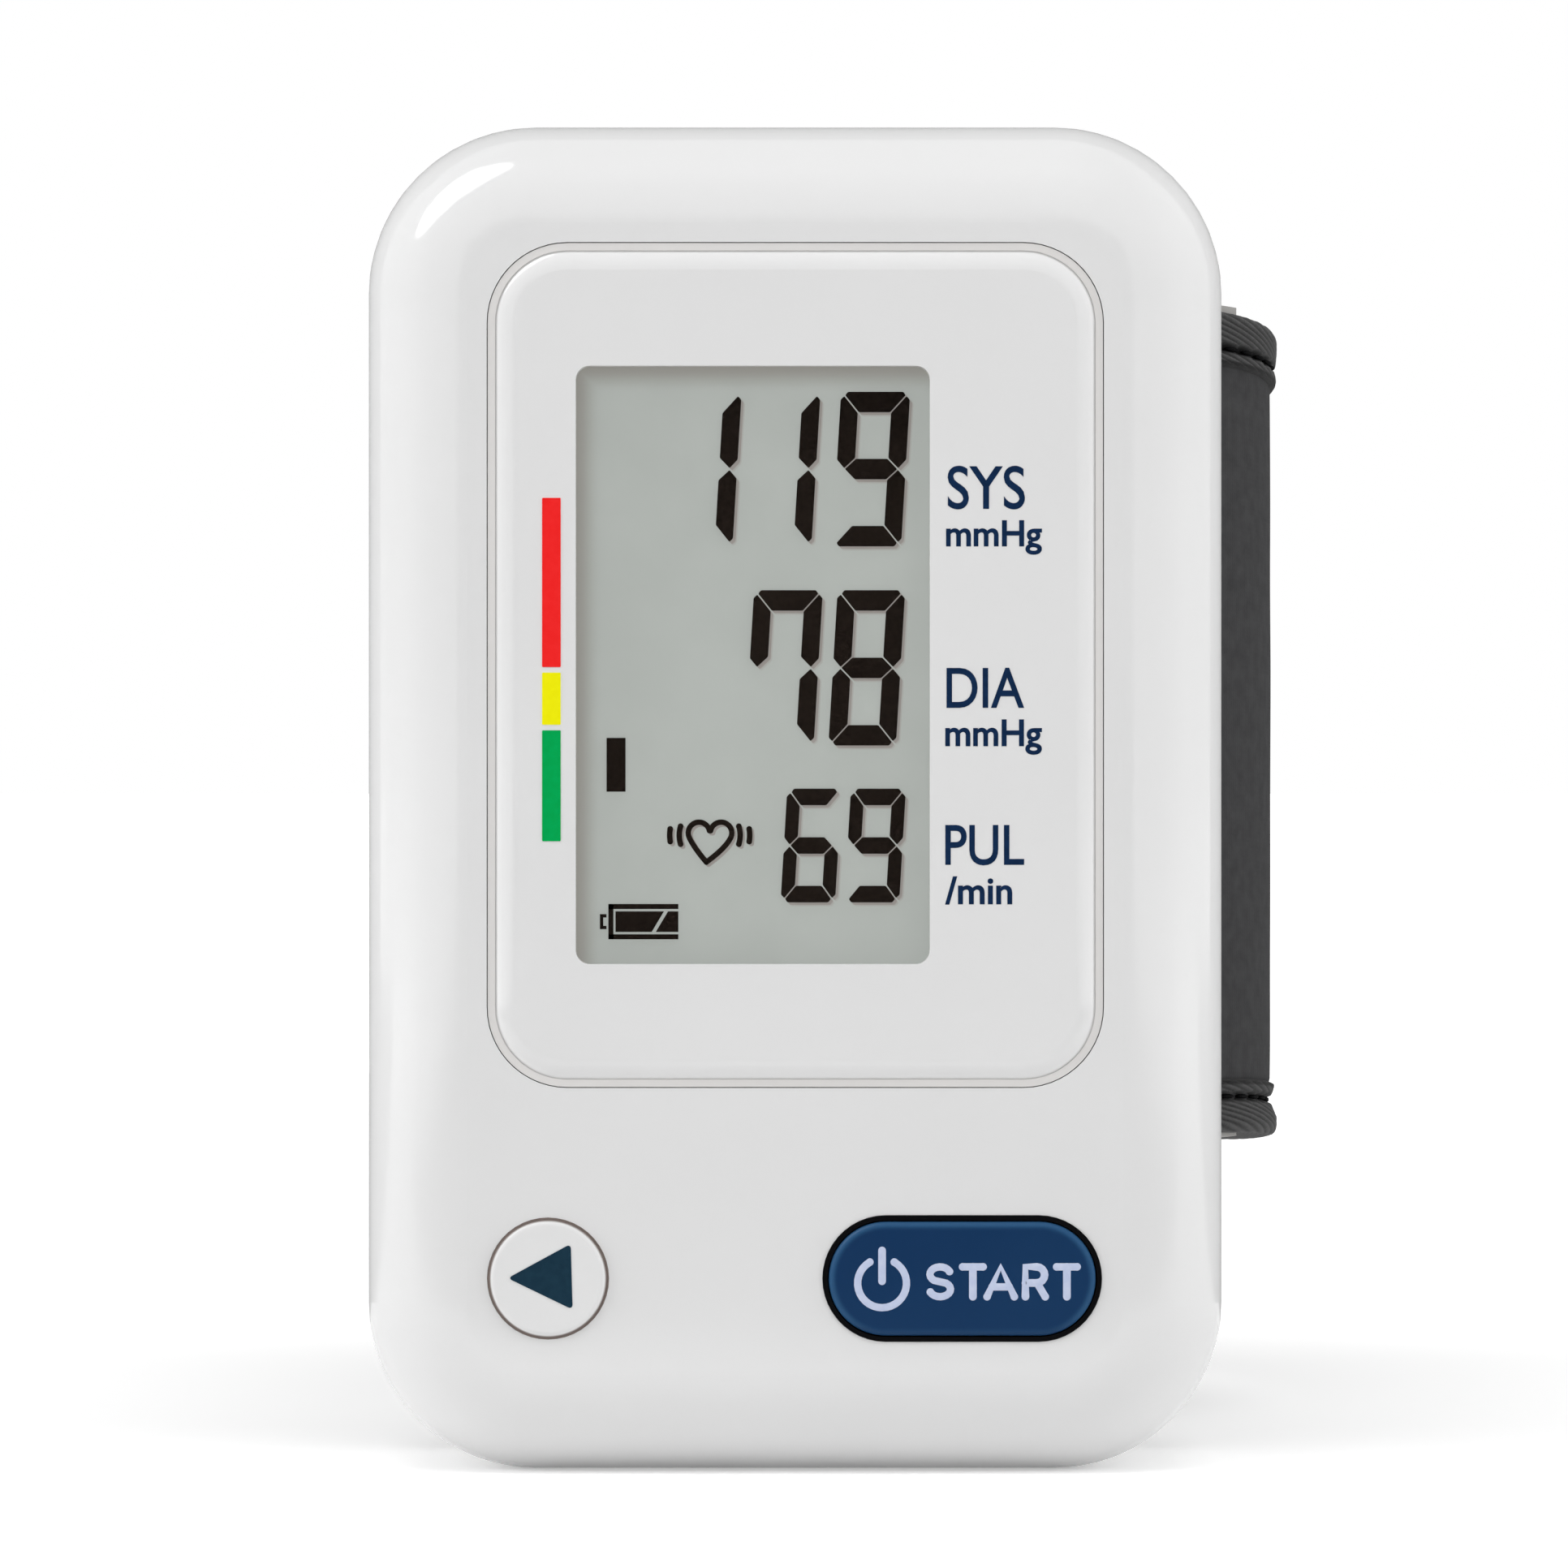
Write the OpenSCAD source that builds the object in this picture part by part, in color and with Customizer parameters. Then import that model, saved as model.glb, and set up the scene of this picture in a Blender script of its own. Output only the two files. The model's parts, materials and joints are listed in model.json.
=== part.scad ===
// Wrist blood pressure monitor with a fabric cuff, standing upright.
// X runs to the viewer's right, Y away from the viewer and Z up the unit.
// The origin is the middle of the unit's bottom face, which it stands on.

/* [Main unit] */
// Width of the main unit
body_w = 56; // [54:1:62]
// Height of the main unit
body_h = 88; // [86:1:96]
// Depth of the main unit, without the display panel's raised face
body_d = 21.5; // [21.5:0.5:26]
// Corner radius of the outline seen from the front
corner_r = 11; // [9.5:0.5:12]
// Wall thickness of both case halves
wall = 1.6; // [1.4:0.1:1.8]
// Radius of the pillowed front edge
edge_r = 6.8; // [6:0.2:7]
// Radius of the rear edge
rear_edge_r = 3.5; // [2.5:0.25:4]
// Depth of the parting plane behind the middle of the unit
parting = 2; // [1.5:0.25:3]

/* [Display] */
// Width of the raised display panel
panel_w = 39.7; // [38:0.5:42]
// Height of the raised display panel
panel_h = 54.5; // [52:0.5:56]
// Corner radius of the display panel
panel_r = 5.1; // [3.5:0.1:6]
// Height of the panel's middle above its base
panel_z = 52.6; // [50:0.1:55]
// Thickness of the display panel
panel_t = 1.25; // [1:0.05:1.4]
// How far the panel stands proud of the case
panel_proud = 0.3; // [0.1:0.05:0.5]
// Width of the panel's rounded rim
rim_w = 1.7; // [1:0.1:2]
// Width of the display window
window_w = 22.9; // [20:0.1:24]
// Height of the display window
window_h = 38.7; // [36:0.1:40]
// Distance of the window's middle to the left of the unit's middle
window_left = 2.75; // [2:0.05:3.5]
// Thickness of each of the display's two glass plates
glass_t = 1.05; // [0.7:0.05:1.1]

/* [Buttons] */
// Height of both buttons above its base
button_z = 12.9; // [12:0.1:14]
// Distance of the memory button's middle from the unit's left side
memory_in = 12; // [11.5:0.1:13]
// Radius of the memory button's cap
memory_r = 3.83; // [3.3:0.01:4.2]
// Distance of the start button's middle from the unit's right side
start_in = 17.2; // [16.5:0.1:18.5]
// Length of the start button's cap
start_w = 17.3; // [15:0.1:18]
// Height of the start button's cap
start_h = 7.4; // [6.5:0.1:8]
// Width of the dark surround round the start button
bezel_w = 0.28; // [0.2:0.02:0.5]
// How far the caps stand proud of the case
cap_proud = 0.35; // [0.3:0.05:0.6]
// Travel of a button
press = 0.5; // [0.3:0.05:0.6]

/* [Power and air parts] */
// Diameter of a battery cell
cell_d = 10.5; // [10:0.1:10.5]
// Length of a battery cell
cell_l = 44.5; // [43.5:0.1:44.5]
// Radius of the air pump
pump_r = 5.7; // [5:0.1:5.8]
// Length of the pump's motor
motor_l = 16; // [14:0.5:18]
// Length of the pump's head
head_l = 10; // [8:0.5:11]
// Radius of the exhaust valve
valve_r = 4.6; // [4:0.1:5]
// Length of the exhaust valve
valve_l = 13; // [11:0.5:14]

/* [Cuff] */
// Inner radius of the closed cuff
bore_r = 27; // [25:0.5:28]
// Thickness of the cuff's layers together
cuff_t = 4; // [3.8:0.1:4.5]
// Height of the cuff
cuff_h = 57.2; // [54:0.2:60]
// Height of the cuff's lower edge above its base
cuff_z = 20.7; // [20:0.1:22]
// Distance of the cuff's axis to the right of the unit's middle
cuff_right = 3.6; // [3:0.1:4.5]
// How far the saddle reaches past the cuff at each end
saddle_over = 0.65; // [0.4:0.05:1]
// Thickness of the saddle's curved wings
saddle_t = 0.9; // [0.8:0.05:1.1]
// Thickness of the lining, and of the outer fabric
fabric_t = 0.7; // [0.5:0.05:0.8]
// Height of the binding tape
tape_h = 3.5; // [3:0.1:5]
// Thickness of the binding tape
tape_t = 0.4; // [0.3:0.05:0.5]
// Angle at which the strap leaves the saddle, from the right, towards the front
strap_a = 22; // [20:1:26]
// Angle at which the fixed part ends, from the right, round the back
stub_a = 80; // [74:1:84]
// Angle at which the strap's free end lies, from the right, round the back
strap_end_a = 145; // [130:1:150]

/* [Hidden] */
$fn = 64;
// Gap between pieces that lie against each other
gap = 0.05;
// Gap round a piece that slides or is lifted out
slip = 0.12;
// Overlap that keeps a cut clear of a face
cut = 1;

// Depths in the lying frame, where the front faces up and the height is y
front_f = body_d / 2;
back_f = -body_d / 2;
split_f = -parting;
inner_f = front_f - wall;
floor_f = back_f + wall;

// Plan of the main unit
corner_x = body_w / 2 - corner_r;
corner_y = body_h / 2 - corner_r;
inner_x = body_w / 2 - wall;

// Where the front and rear edges start, outside the corner centres
front_in = corner_r - edge_r;
rear_in = corner_r - rear_edge_r;

// Interlocking lip between the case halves
lip_t = 0.7;
lip_h = 1;
// Shadow line between the case halves
seam = 0.15;

// Display stack, from the front backwards
panel_front = front_f + panel_proud;
panel_back = panel_front - panel_t;
rim_foot = 0.2;
rim_drop = panel_t - rim_foot;
ledge_t = 1.2;
ledge_back = panel_back - ledge_t;
lens_t = 0.7;
lens_rise = 0.5;
lens_lap = 1.8;
glass_front = ledge_back - 0.25;
glass_w = window_w + 3.1;
glass_h = window_h + 3.1;
glass_ledge = 3.2;
glass_back = glass_front - 2 * glass_t;
frame_wall = 1.5;
frame_rest = 1.4;
board_t = 1.2;
board_f = glass_back - 1.85;
board_back = board_f - board_t;
window_x = -window_left;
reflector_t = 0.25;
zebra_w = 24;
zebra_t = 1.8;

// Buttons
bezel_gap = 0.07;
cap_edge = 0.4;
flange_t = 0.8;
flange_lap = 0.9;
flange_f = inner_f - 0.1;
plunger_r = 1.5;
switch_w = 4.5;
switch_t = 2.2;
stem_r = 1.1;
stem_slip = 0.05;
stem_f = board_f + switch_t + press + gap;
stem_l = 1.65;

// Battery bay
cell_r = cell_d / 2;
rail_w = 0.8;
rail_t = 0.5;
bay_gap = slip + rail_t + 0.08;
bay_wall = 0.8;
spring_l = 4;
bump_h = 1;
plate_t = 0.4;
bay_l = cell_l + spring_l + bump_h + 2 * plate_t + 0.2;
bay_y = body_h / 2;
bay_low = bay_y - bay_l / 2;
bay_high = bay_y + bay_l / 2;
cell_f = floor_f + bay_gap + cell_r;
cell_left_x = -inner_x + 0.75 + cell_r;
cell_right_x = cell_left_x + cell_d + 0.3;
bay_right_x = cell_right_x + cell_r + 0.45;
bay_top_f = cell_f + cell_r + 0.15;
nub_r = 1.9;
nub_h = 0.8;
cover_h = 48;
pad_half = 11;
cover_right_x = cuff_right - pad_half - 0.9;
cover_top_f = split_f - lip_h - 0.3;

// Screws
case_screw_x = corner_x + 3.5;
case_screw_low = 6.5;
case_screw_high = body_h - case_screw_low;
case_screw_r = 1;
case_head_r = 1.9;
case_head_t = 1.3;
boss_r = 2.6;
post_r = 3;
board_screw_x = inner_x - 3.4;
board_screw_r = 0.8;
board_head_r = 1.6;
board_post_r = 2;
board_screw_low = bay_low - bay_wall - board_head_r - 0.5;
board_screw_high = bay_high + bay_wall + board_head_r + 0.5;

// Air parts
pump_x = inner_x - pump_r - 1.1;
pump_f = floor_f + pump_r + 0.35;
pump_below = 24;
pump_y = body_h / 2 - pump_below;
head_y = pump_y + motor_l + gap;
nozzle_r = 1.3;
nozzle_l = 4;
tube_r = 2.2;
manifold_y = head_y + head_l + nozzle_l + 1.7;
valve_y = manifold_y + nozzle_l + 1.5;
valve_f = floor_f + valve_r + 1.5;
shaft_r = 0.75;
can_t = 0.5;
plunger_rod_r = 1;
sensor_w = 7;
sensor_t = 3.1;
sensor_x = pump_x - pump_r - 2.9;
sensor_y = manifold_y + 9;
nipple_x = sensor_x - sensor_w / 2 - 1;
nipple_r = 1.8;
flange_r = nipple_r + 1.2;
nipple_flange_t = 0.5;
chip_w = 10;
chip_y = pump_y + motor_l;

// Cuff radii from the inside out
cuff_x = cuff_right;
saddle_r = bore_r + cuff_t - fabric_t - gap - saddle_t;
cuff_y = body_d / 2 + gap + 1.9 + saddle_r;
cuff_r = bore_r + cuff_t;
cover_r = cuff_r - fabric_t;
bladder_in = bore_r + fabric_t + gap;
bladder_out = saddle_r - gap;
cuff_top = cuff_z + cuff_h;
cap_t = 0.5;
layer_low = cuff_z + cap_t;
layer_high = cuff_top - cap_t;
tape_recess = 0.15;
pad_low = cuff_z - saddle_over;
pad_high = cuff_top + saddle_over;
pad_depth = 8;
left_stop_a = 180 + acos((pad_half + 2 * gap) / cover_r);
right_stop_a = 360 - acos((pad_half + 2 * gap) / cover_r);
fixed_end_a = 360 - strap_a - 0.5;
wing_left_a = 214;
curler_t = 0.6;
patch_t = 0.5;
sheet_margin = 1;
bladder_margin = 4;
bladder_a = 22;
saddle_screw_x = cuff_right + 8;
peg_x = cuff_right - 4;
peg_r = 1.2;
saddle_screw_low = cuff_z + 6.3;
saddle_screw_high = cuff_top - 6.3;
saddle_screw_r = 0.9;
saddle_head_r = 1.8;

// Strap, which lies on the saddle's circle and then climbs over the fixed end
strap_start = -strap_a + 0.3;
climb_start = 4;
climb_end = stub_a - 2;
lap_gap = 0.35;
lap_in = cuff_r + tape_t + lap_gap + patch_t + gap;
lap_out = lap_in + 1.7;
hook_start = 95;
hook_end = strap_end_a - 3;
stiff_end = 62;

function mix(a, b, t) = a + (b - a) * t;
function soft_step(t) = let (u = max(0, min(1, t))) u * u * (3 - 2 * u);
function climb(a) = soft_step((a - climb_start) / (climb_end - climb_start));
function strap_in(a) = mix(bore_r, lap_in, climb(a));
function strap_out(a) = mix(cuff_r, lap_out, climb(a));
function strap_point(a, depth, extra) =
  let (r = mix(strap_in(a), strap_out(a), depth) + extra)
  [cuff_x + r * cos(a), cuff_y + r * sin(a)];

// Stands up what is drawn lying on its back
module upright() {
  rotate([90, 0, 0]) children();
}

// Part of a disc between two angles
module sector(r, a0, a1) {
  far = 2 * r;
  mid = (a0 + a1) / 2;
  intersection() {
    circle(r);
    polygon([
      [0, 0],
      [far * cos(a0), far * sin(a0)],
      [far * cos(mid), far * sin(mid)],
      [far * cos(a1), far * sin(a1)]
    ]);
  }
}

// Rounded rectangle about the origin
module round_rect(w, h, r) {
  square([w - 2 * r, h], center = true);
  square([w, h - 2 * r], center = true);
  for (x = [-1, 1], y = [-1, 1])
    translate([x * (w / 2 - r), y * (h / 2 - r)]) circle(r);
}

// Upright prism on a rounded rectangle, from depth f0 to f1
module round_prism(w, h, r, f0, f1) {
  translate([0, 0, f0]) linear_extrude(f1 - f0) round_rect(w, h, r);
}

// Sweeps a profile, drawn outward from the corner centres, round a rectangle
module sweep_round(cx, cy) {
  for (sx = [0, 1], sy = [0, 1])
    mirror([sx, 0, 0]) mirror([0, sy, 0])
      translate([cx, cy, 0]) rotate_extrude(angle = 90) children();
  for (side = [0, 180]) {
    if (cy > 0)
      rotate([0, 0, side]) translate([cx, 0, 0]) rotate([90, 0, 0])
        linear_extrude(2 * cy, center = true) children();
    rotate([0, 0, side + 90]) translate([cy, 0, 0]) rotate([90, 0, 0])
      linear_extrude(2 * cx, center = true) children();
  }
}

// Slab with a rounded rectangle's outline, whose front edge is rounded over
// the given width and falls back by the given drop
module soft_slab(w, h, r, f0, f1, edge, drop) {
  cx = w / 2 - r;
  cy = h / 2 - r;
  edge_round = (edge * edge + drop * drop) / (2 * drop);
  sweep_round(cx, cy) intersection() {
    translate([0, f0]) square([r, f1 - f0]);
    union() {
      translate([0, f0]) square([r, f1 - f0 - drop]);
      translate([0, f0]) square([r - edge, f1 - f0]);
      translate([r - edge, f1 - edge_round]) circle(edge_round);
    }
  }
  if (cy > 0)
    translate([-cx, -cy, f0]) cube([2 * cx, 2 * cy, f1 - f0]);
}

// Sweeps an edge profile round the outline of the main unit
module case_sweep() {
  translate([0, body_h / 2, 0]) sweep_round(corner_x, corner_y) children();
}

// Profile of the front edge, set in by the given amount and open at its back
module front_edge(inset, f0) {
  high = front_f - edge_r;
  translate([0, f0]) square([corner_r - inset, high - f0]);
  translate([0, f0]) square([front_in, front_f - inset - f0]);
  translate([front_in, high]) sector(edge_r - inset, 0, 90);
}

// Profile of the rear edge, set in by the given amount and open at its front
module rear_edge(inset, f1) {
  r = rear_edge_r - inset;
  low = back_f + inset + r;
  translate([0, low]) square([corner_r - inset, f1 - low]);
  translate([0, low - r]) square([rear_in, f1 - low + r]);
  translate([rear_in, low]) sector(r, -90, 0);
}

// Block between the corner centres of the main unit
module case_core(f0, f1) {
  translate([-corner_x, body_h / 2 - corner_y, f0]) cube([2 * corner_x, 2 * corner_y, f1 - f0]);
}

// Solid front half, set in by the given amount
module front_form(inset, f0) {
  case_sweep() front_edge(inset, f0);
  case_core(f0, front_f - inset);
}

// Solid rear half, set in by the given amount
module rear_form(inset, f1) {
  case_sweep() rear_edge(inset, f1);
  case_core(back_f + inset, f1);
}

module at_case_screws() {
  for (x = [-1, 1], y = [case_screw_low, case_screw_high])
    translate([x * case_screw_x, y, 0]) children();
}

module at_board_screws() {
  for (x = [-1, 1], y = [board_screw_low, board_screw_high])
    translate([x * board_screw_x, y, 0]) children();
}

module at_memory() {
  translate([memory_in - body_w / 2, button_z, 0]) children();
}

module at_start() {
  translate([body_w / 2 - start_in, button_z, 0]) children();
}

module at_window() {
  translate([window_x, panel_z, 0]) children();
}

module rod(r, f0, f1) {
  translate([0, 0, f0]) cylinder(h = f1 - f0, r = r);
}

// What stands inside the front half: the panel's ledge, bosses and posts
module front_inside() {
  translate([0, panel_z, 0])
    round_prism(panel_w - 2, panel_h - 2, panel_r - 1, ledge_back, panel_back);
  at_case_screws() rod(boss_r, split_f + gap, front_f);
  at_board_screws() rod(board_post_r, board_f + gap, front_f);
}

// Front half of the housing with its pillowed edge and button holes
module front_case() {
  surround = bezel_w + bezel_gap + gap;
  color([0.93, 0.93, 0.92]) upright() difference() {
    union() {
      difference() {
        front_form(0, split_f);
        difference() {
          front_form(wall, split_f - cut);
          front_inside();
        }
      }
      case_sweep() translate([corner_r - wall, split_f - lip_h]) square([lip_t, lip_h + wall]);
    }
    translate([0, panel_z, 0])
      round_prism(panel_w + 2 * slip, panel_h + 2 * slip, panel_r + slip, panel_back - gap, front_f + cut);
    at_window()
      round_prism(window_w + 2 * lens_lap + 0.6, window_h + 2 * lens_lap + 0.6, 1.5,
        ledge_back - cut, panel_back);
    at_memory() rod(memory_r + slip, ledge_back - cut, front_f + cut);
    at_start()
      round_prism(start_w + 2 * surround, start_h + 2 * surround, start_h / 2 + surround - 0.001,
        ledge_back - cut, front_f + cut);
    at_case_screws() rod(case_screw_r + 0.02, split_f - cut, front_f - 5);
    at_board_screws() rod(board_screw_r + 0.02, board_f - cut, board_f + 3.6);
  }
}

// Outer skin of the rear half, which the case and its battery cover share
module rear_skin() {
  difference() {
    rear_form(0, split_f - seam);
    rear_form(wall, split_f + cut);
  }
}

// Block that the battery cover takes out of the rear half
module cover_block(extra) {
  translate([-body_w, bay_y - cover_h / 2 - extra, back_f - cut])
    cube([body_w + cover_right_x + extra, cover_h + 2 * extra, cover_top_f + extra - back_f + cut]);
}

// Slots in the left wall through which the battery cover's rails run out
module rail_slots() {
  reach = cover_h / 2 + rail_w + slip;
  translate([-body_w, bay_y - reach, floor_f])
    cube([body_w - inner_x + 2, 2 * reach, rail_t + 2 * slip]);
}

// Walls of the battery bay, open on the side of its cover
module bay_walls() {
  x0 = -inner_x + slip;
  difference() {
    translate([x0, bay_low - bay_wall, floor_f - gap])
      cube([bay_right_x + bay_wall - x0, bay_l + 2 * bay_wall, bay_top_f + bay_wall - floor_f + gap]);
    translate([x0 - cut, bay_low, floor_f - cut])
      cube([bay_right_x - x0 + cut, bay_l, bay_top_f - floor_f + cut]);
  }
}

// Rib that cradles a round part lying against the rear wall
module cradle(x, y, f, r) {
  difference() {
    translate([x - r, y, floor_f - gap]) cube([2 * r, 1.2, f - 2 - floor_f]);
    translate([x, y - cut, f]) rotate([-90, 0, 0]) cylinder(h = 1.2 + 2 * cut, r = r + gap);
  }
}

// Rear half of the housing, with the battery bay and the pump's cradles
module rear_case() {
  color([0.9, 0.9, 0.89]) upright() difference() {
    union() {
      rear_skin();
      bay_walls();
      at_case_screws() rod(post_r, floor_f - gap, split_f);
      for (y = [pump_y + 3, head_y + 4])
        cradle(pump_x, y, pump_f, pump_r);
      cradle(pump_x, valve_y + 5, valve_f, valve_r);
    }
    cover_block(slip);
    rail_slots();
    case_sweep() translate([corner_r - wall - cut, split_f - lip_h - gap])
      square([cut + lip_t + gap, lip_h + cut]);
    at_case_screws() {
      rod(case_screw_r + 0.15, back_f - cut, split_f + cut);
      rod(case_head_r + 0.2, back_f - cut, back_f + 2.2);
    }
    translate([nipple_x, manifold_y, 0]) rod(nipple_r + slip, back_f - cut, floor_f + cut);
    for (y = [saddle_screw_low, saddle_screw_high]) {
      translate([saddle_screw_x, y, 0]) rod(saddle_screw_r + 0.15, back_f - cut, floor_f + cut);
      translate([peg_x, y, 0]) rod(peg_r + slip, back_f - cut, floor_f + cut);
    }
  }
}

// Battery cover that slides off to the left, with its rails and grip ridges
module battery_cover() {
  color([0.9, 0.9, 0.89]) upright() {
    intersection() {
      rear_skin();
      cover_block(0);
    }
    for (side = [-1, 1]) {
      rail_y = bay_y + side * cover_h / 2;
      translate([-inner_x + 2, side > 0 ? rail_y - 1 : rail_y - rail_w, floor_f + slip])
        cube([inner_x - 2 + cover_right_x, 1 + rail_w, rail_t]);
      translate([cover_right_x - 2, bay_y + side * 14 - 4, floor_f + slip])
        cube([2 + 1.6, 8, rail_t]);
      translate([cover_right_x - 2, bay_y + side * 14 - 4, floor_f - gap])
        cube([1.8, 8, slip + 2 * gap]);
    }
    for (side = [-1, 1])
      translate([-inner_x + 2, side > 0 ? bay_y + cover_h / 2 - 1 : bay_y - cover_h / 2, floor_f - gap])
        cube([inner_x - 2 + cover_right_x, 1, slip + 2 * gap]);
    for (i = [0 : 3])
      translate([-body_w / 2 + 5 + 1.6 * i, bay_y - 7, back_f - 0.3])
        cube([0.7, 14, 0.4]);
  }
}

// Four screws that close the housing from behind
module case_screws() {
  color([0.6, 0.6, 0.62]) upright() at_case_screws() difference() {
    union() {
      rod(case_head_r, back_f + 2.2 - case_head_t, back_f + 2.2);
      rod(case_screw_r, back_f + 2.2, front_f - 6);
    }
    for (a = [0, 90]) rotate([0, 0, a])
      translate([-1.1, -0.2, back_f + 2.2 - case_head_t - cut]) cube([2.2, 0.4, cut + 0.7]);
  }
}

// Raised panel with its rounded rim and the display's window
module display_panel() {
  color([0.94, 0.94, 0.93]) upright() difference() {
    translate([0, panel_z, 0])
      soft_slab(panel_w, panel_h, panel_r, panel_back, panel_front, rim_w, rim_drop);
    at_window() round_prism(window_w, window_h, 0.9, panel_back - cut, panel_front + cut);
  }
}

// Clear window, seated behind the panel with its middle in the opening
module display_window() {
  color([0.85, 0.9, 0.9, 0.4]) upright() at_window() {
    round_prism(window_w + 2 * lens_lap, window_h + 2 * lens_lap, 1.3,
      panel_back - gap - lens_t, panel_back - gap);
    round_prism(window_w - 2 * gap, window_h - 2 * gap, 0.85,
      panel_back - gap - lens_t, panel_back + lens_rise);
  }
}

// Liquid crystal cell: the front plate is longer and carries the contacts
module lcd_glass() {
  color([0.67, 0.69, 0.67]) upright() at_window() {
    translate([-glass_w / 2, -glass_h / 2, glass_front - glass_t])
      cube([glass_w, glass_h, glass_t]);
    translate([-glass_w / 2, -glass_h / 2 + glass_ledge, glass_back])
      cube([glass_w, glass_h - glass_ledge, glass_t]);
  }
}

// Reflective film behind the liquid crystal cell
module lcd_reflector() {
  color([0.6, 0.63, 0.6]) upright() at_window()
    translate([-(glass_w - 2 * frame_rest) / 2 + gap, -(glass_h - 2 * glass_ledge) / 2 + gap,
      glass_back - gap - reflector_t])
      cube([glass_w - 2 * frame_rest - 2 * gap, glass_h - 2 * glass_ledge - 2 * gap, reflector_t]);
}

// Frame that holds the display on the board
module lcd_frame() {
  outer_w = glass_w + 2 * (0.2 + frame_wall);
  outer_h = glass_h + 2 * (0.2 + frame_wall);
  color([0.9, 0.9, 0.88]) upright() at_window() difference() {
    translate([-outer_w / 2, -outer_h / 2, board_f + gap])
      cube([outer_w, outer_h, glass_front + 0.15 - board_f - gap]);
    translate([-glass_w / 2 - 0.2, -glass_h / 2 - 0.2, glass_back - gap])
      cube([glass_w + 0.4, glass_h + 0.4, 2 * glass_t + cut]);
    translate([-glass_w / 2 + frame_rest, -glass_h / 2 + glass_ledge, board_f - cut])
      cube([glass_w - 2 * frame_rest, glass_h - 2 * glass_ledge, glass_back - board_f + cut]);
    translate([-zebra_w / 2 - 0.2, -glass_h / 2 + 0.2, board_f - cut])
      cube([zebra_w + 0.4, zebra_t + 0.4, glass_back - board_f + cut]);
  }
}

// Rubber strip that joins the display's contacts to the board
module zebra_strip() {
  color([0.75, 0.55, 0.6]) upright() at_window()
    translate([-zebra_w / 2, -glass_h / 2 + 0.4, board_f + 0.02])
      cube([zebra_w, zebra_t, glass_front - glass_t - board_f - 0.04]);
}

// Circuit board, notched round the housing's screw bosses
module main_board() {
  color([0.1, 0.42, 0.2]) upright() difference() {
    translate([0, body_h / 2, 0])
      round_prism(2 * inner_x - 1.2, body_h - 9, corner_r - 2, board_back, board_f);
    at_case_screws() rod(boss_r + 0.5, board_back - cut, board_f + cut);
    at_board_screws() rod(board_screw_r + 0.2, board_back - cut, board_f + cut);
  }
}

// Four small screws that hold the board to the front half
module board_screws() {
  color([0.75, 0.75, 0.77]) upright() at_board_screws() {
    rod(board_head_r, board_back - gap - 1, board_back - gap);
    rod(board_screw_r, board_back - gap, board_f + 3.4);
  }
}

// Controller chip with its leads on the back of the board
module controller_chip() {
  color([0.15, 0.15, 0.16]) upright() translate([sensor_x, chip_y, board_back - gap]) {
    translate([-chip_w / 2, -chip_w / 2, -1.5]) cube([chip_w, chip_w, 1.4]);
    for (a = [0 : 90 : 270], i = [-4 : 4])
      rotate([0, 0, a]) translate([chip_w / 2 - 0.1, i - 0.2, -0.6]) cube([1, 0.4, 0.6]);
  }
}

// Round buzzer on the back of the board
module buzzer() {
  color([0.12, 0.12, 0.13]) upright() translate([5, 12, 0]) difference() {
    rod(4.5, board_back - gap - 4, board_back - gap);
    rod(0.8, board_back - gap - 4 - cut, board_back - gap - 2.5);
  }
}

// Cap, flange and plunger of the round memory button
module memory_button() {
  cap_top = front_f + cap_proud;
  color([0.93, 0.93, 0.92]) upright() at_memory() {
    rotate_extrude() {
      translate([0, flange_f]) square([memory_r, cap_top - cap_edge - flange_f]);
      translate([0, flange_f]) square([memory_r - cap_edge, cap_top - flange_f]);
      translate([memory_r - cap_edge, cap_top - cap_edge]) sector(cap_edge, 0, 90);
      translate([0, flange_f - flange_t]) square([memory_r + flange_lap, flange_t]);
      translate([0, stem_f + 0.03]) square([plunger_r, flange_f - stem_f - 0.03]);
    }
  }
}

// Cap, flange and plunger of the start button
module start_button() {
  color([0.09, 0.2, 0.36]) upright() at_start() {
    soft_slab(start_w, start_h, start_h / 2, flange_f - gap, front_f + cap_proud, cap_edge, cap_edge);
    round_prism(start_w + 2 * flange_lap, start_h + 2 * flange_lap,
      start_h / 2 + flange_lap - 0.001, flange_f - flange_t, flange_f);
    rod(plunger_r, stem_f + 0.03, flange_f - flange_t / 2);
  }
}

// Dark surround between the housing and the start button
module start_bezel() {
  w = start_w + 2 * bezel_gap;
  h = start_h + 2 * bezel_gap;
  color([0.03, 0.03, 0.04]) upright() at_start() difference() {
    round_prism(w + 2 * bezel_w, h + 2 * bezel_w, h / 2 + bezel_w - 0.001, inner_f + gap, front_f + 0.12);
    round_prism(w, h, h / 2 - 0.001, inner_f - cut, front_f + cut);
  }
}

// Body of a push switch on the front of the board
module switch_body() {
  difference() {
    union() {
      translate([-switch_w / 2, -switch_w / 2, board_f + gap])
        cube([switch_w, switch_w, switch_t - gap]);
      for (x = [-1, 1], y = [-1, 1])
        translate([x * (switch_w / 2 + 0.4) - 0.6, y * 1.6 - 0.35, board_f + gap])
          cube([1.2, 0.7, 0.3]);
    }
    rod(stem_r + stem_slip, stem_f - stem_l - press - 0.1, board_f + switch_t + cut);
  }
}

// Plunger of a push switch
module switch_stem() {
  rod(stem_r, stem_f - stem_l, stem_f);
}

module memory_switch() {
  color([0.2, 0.2, 0.22]) upright() at_memory() switch_body();
}

module memory_switch_stem() {
  color([0.7, 0.65, 0.5]) upright() at_memory() switch_stem();
}

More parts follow.
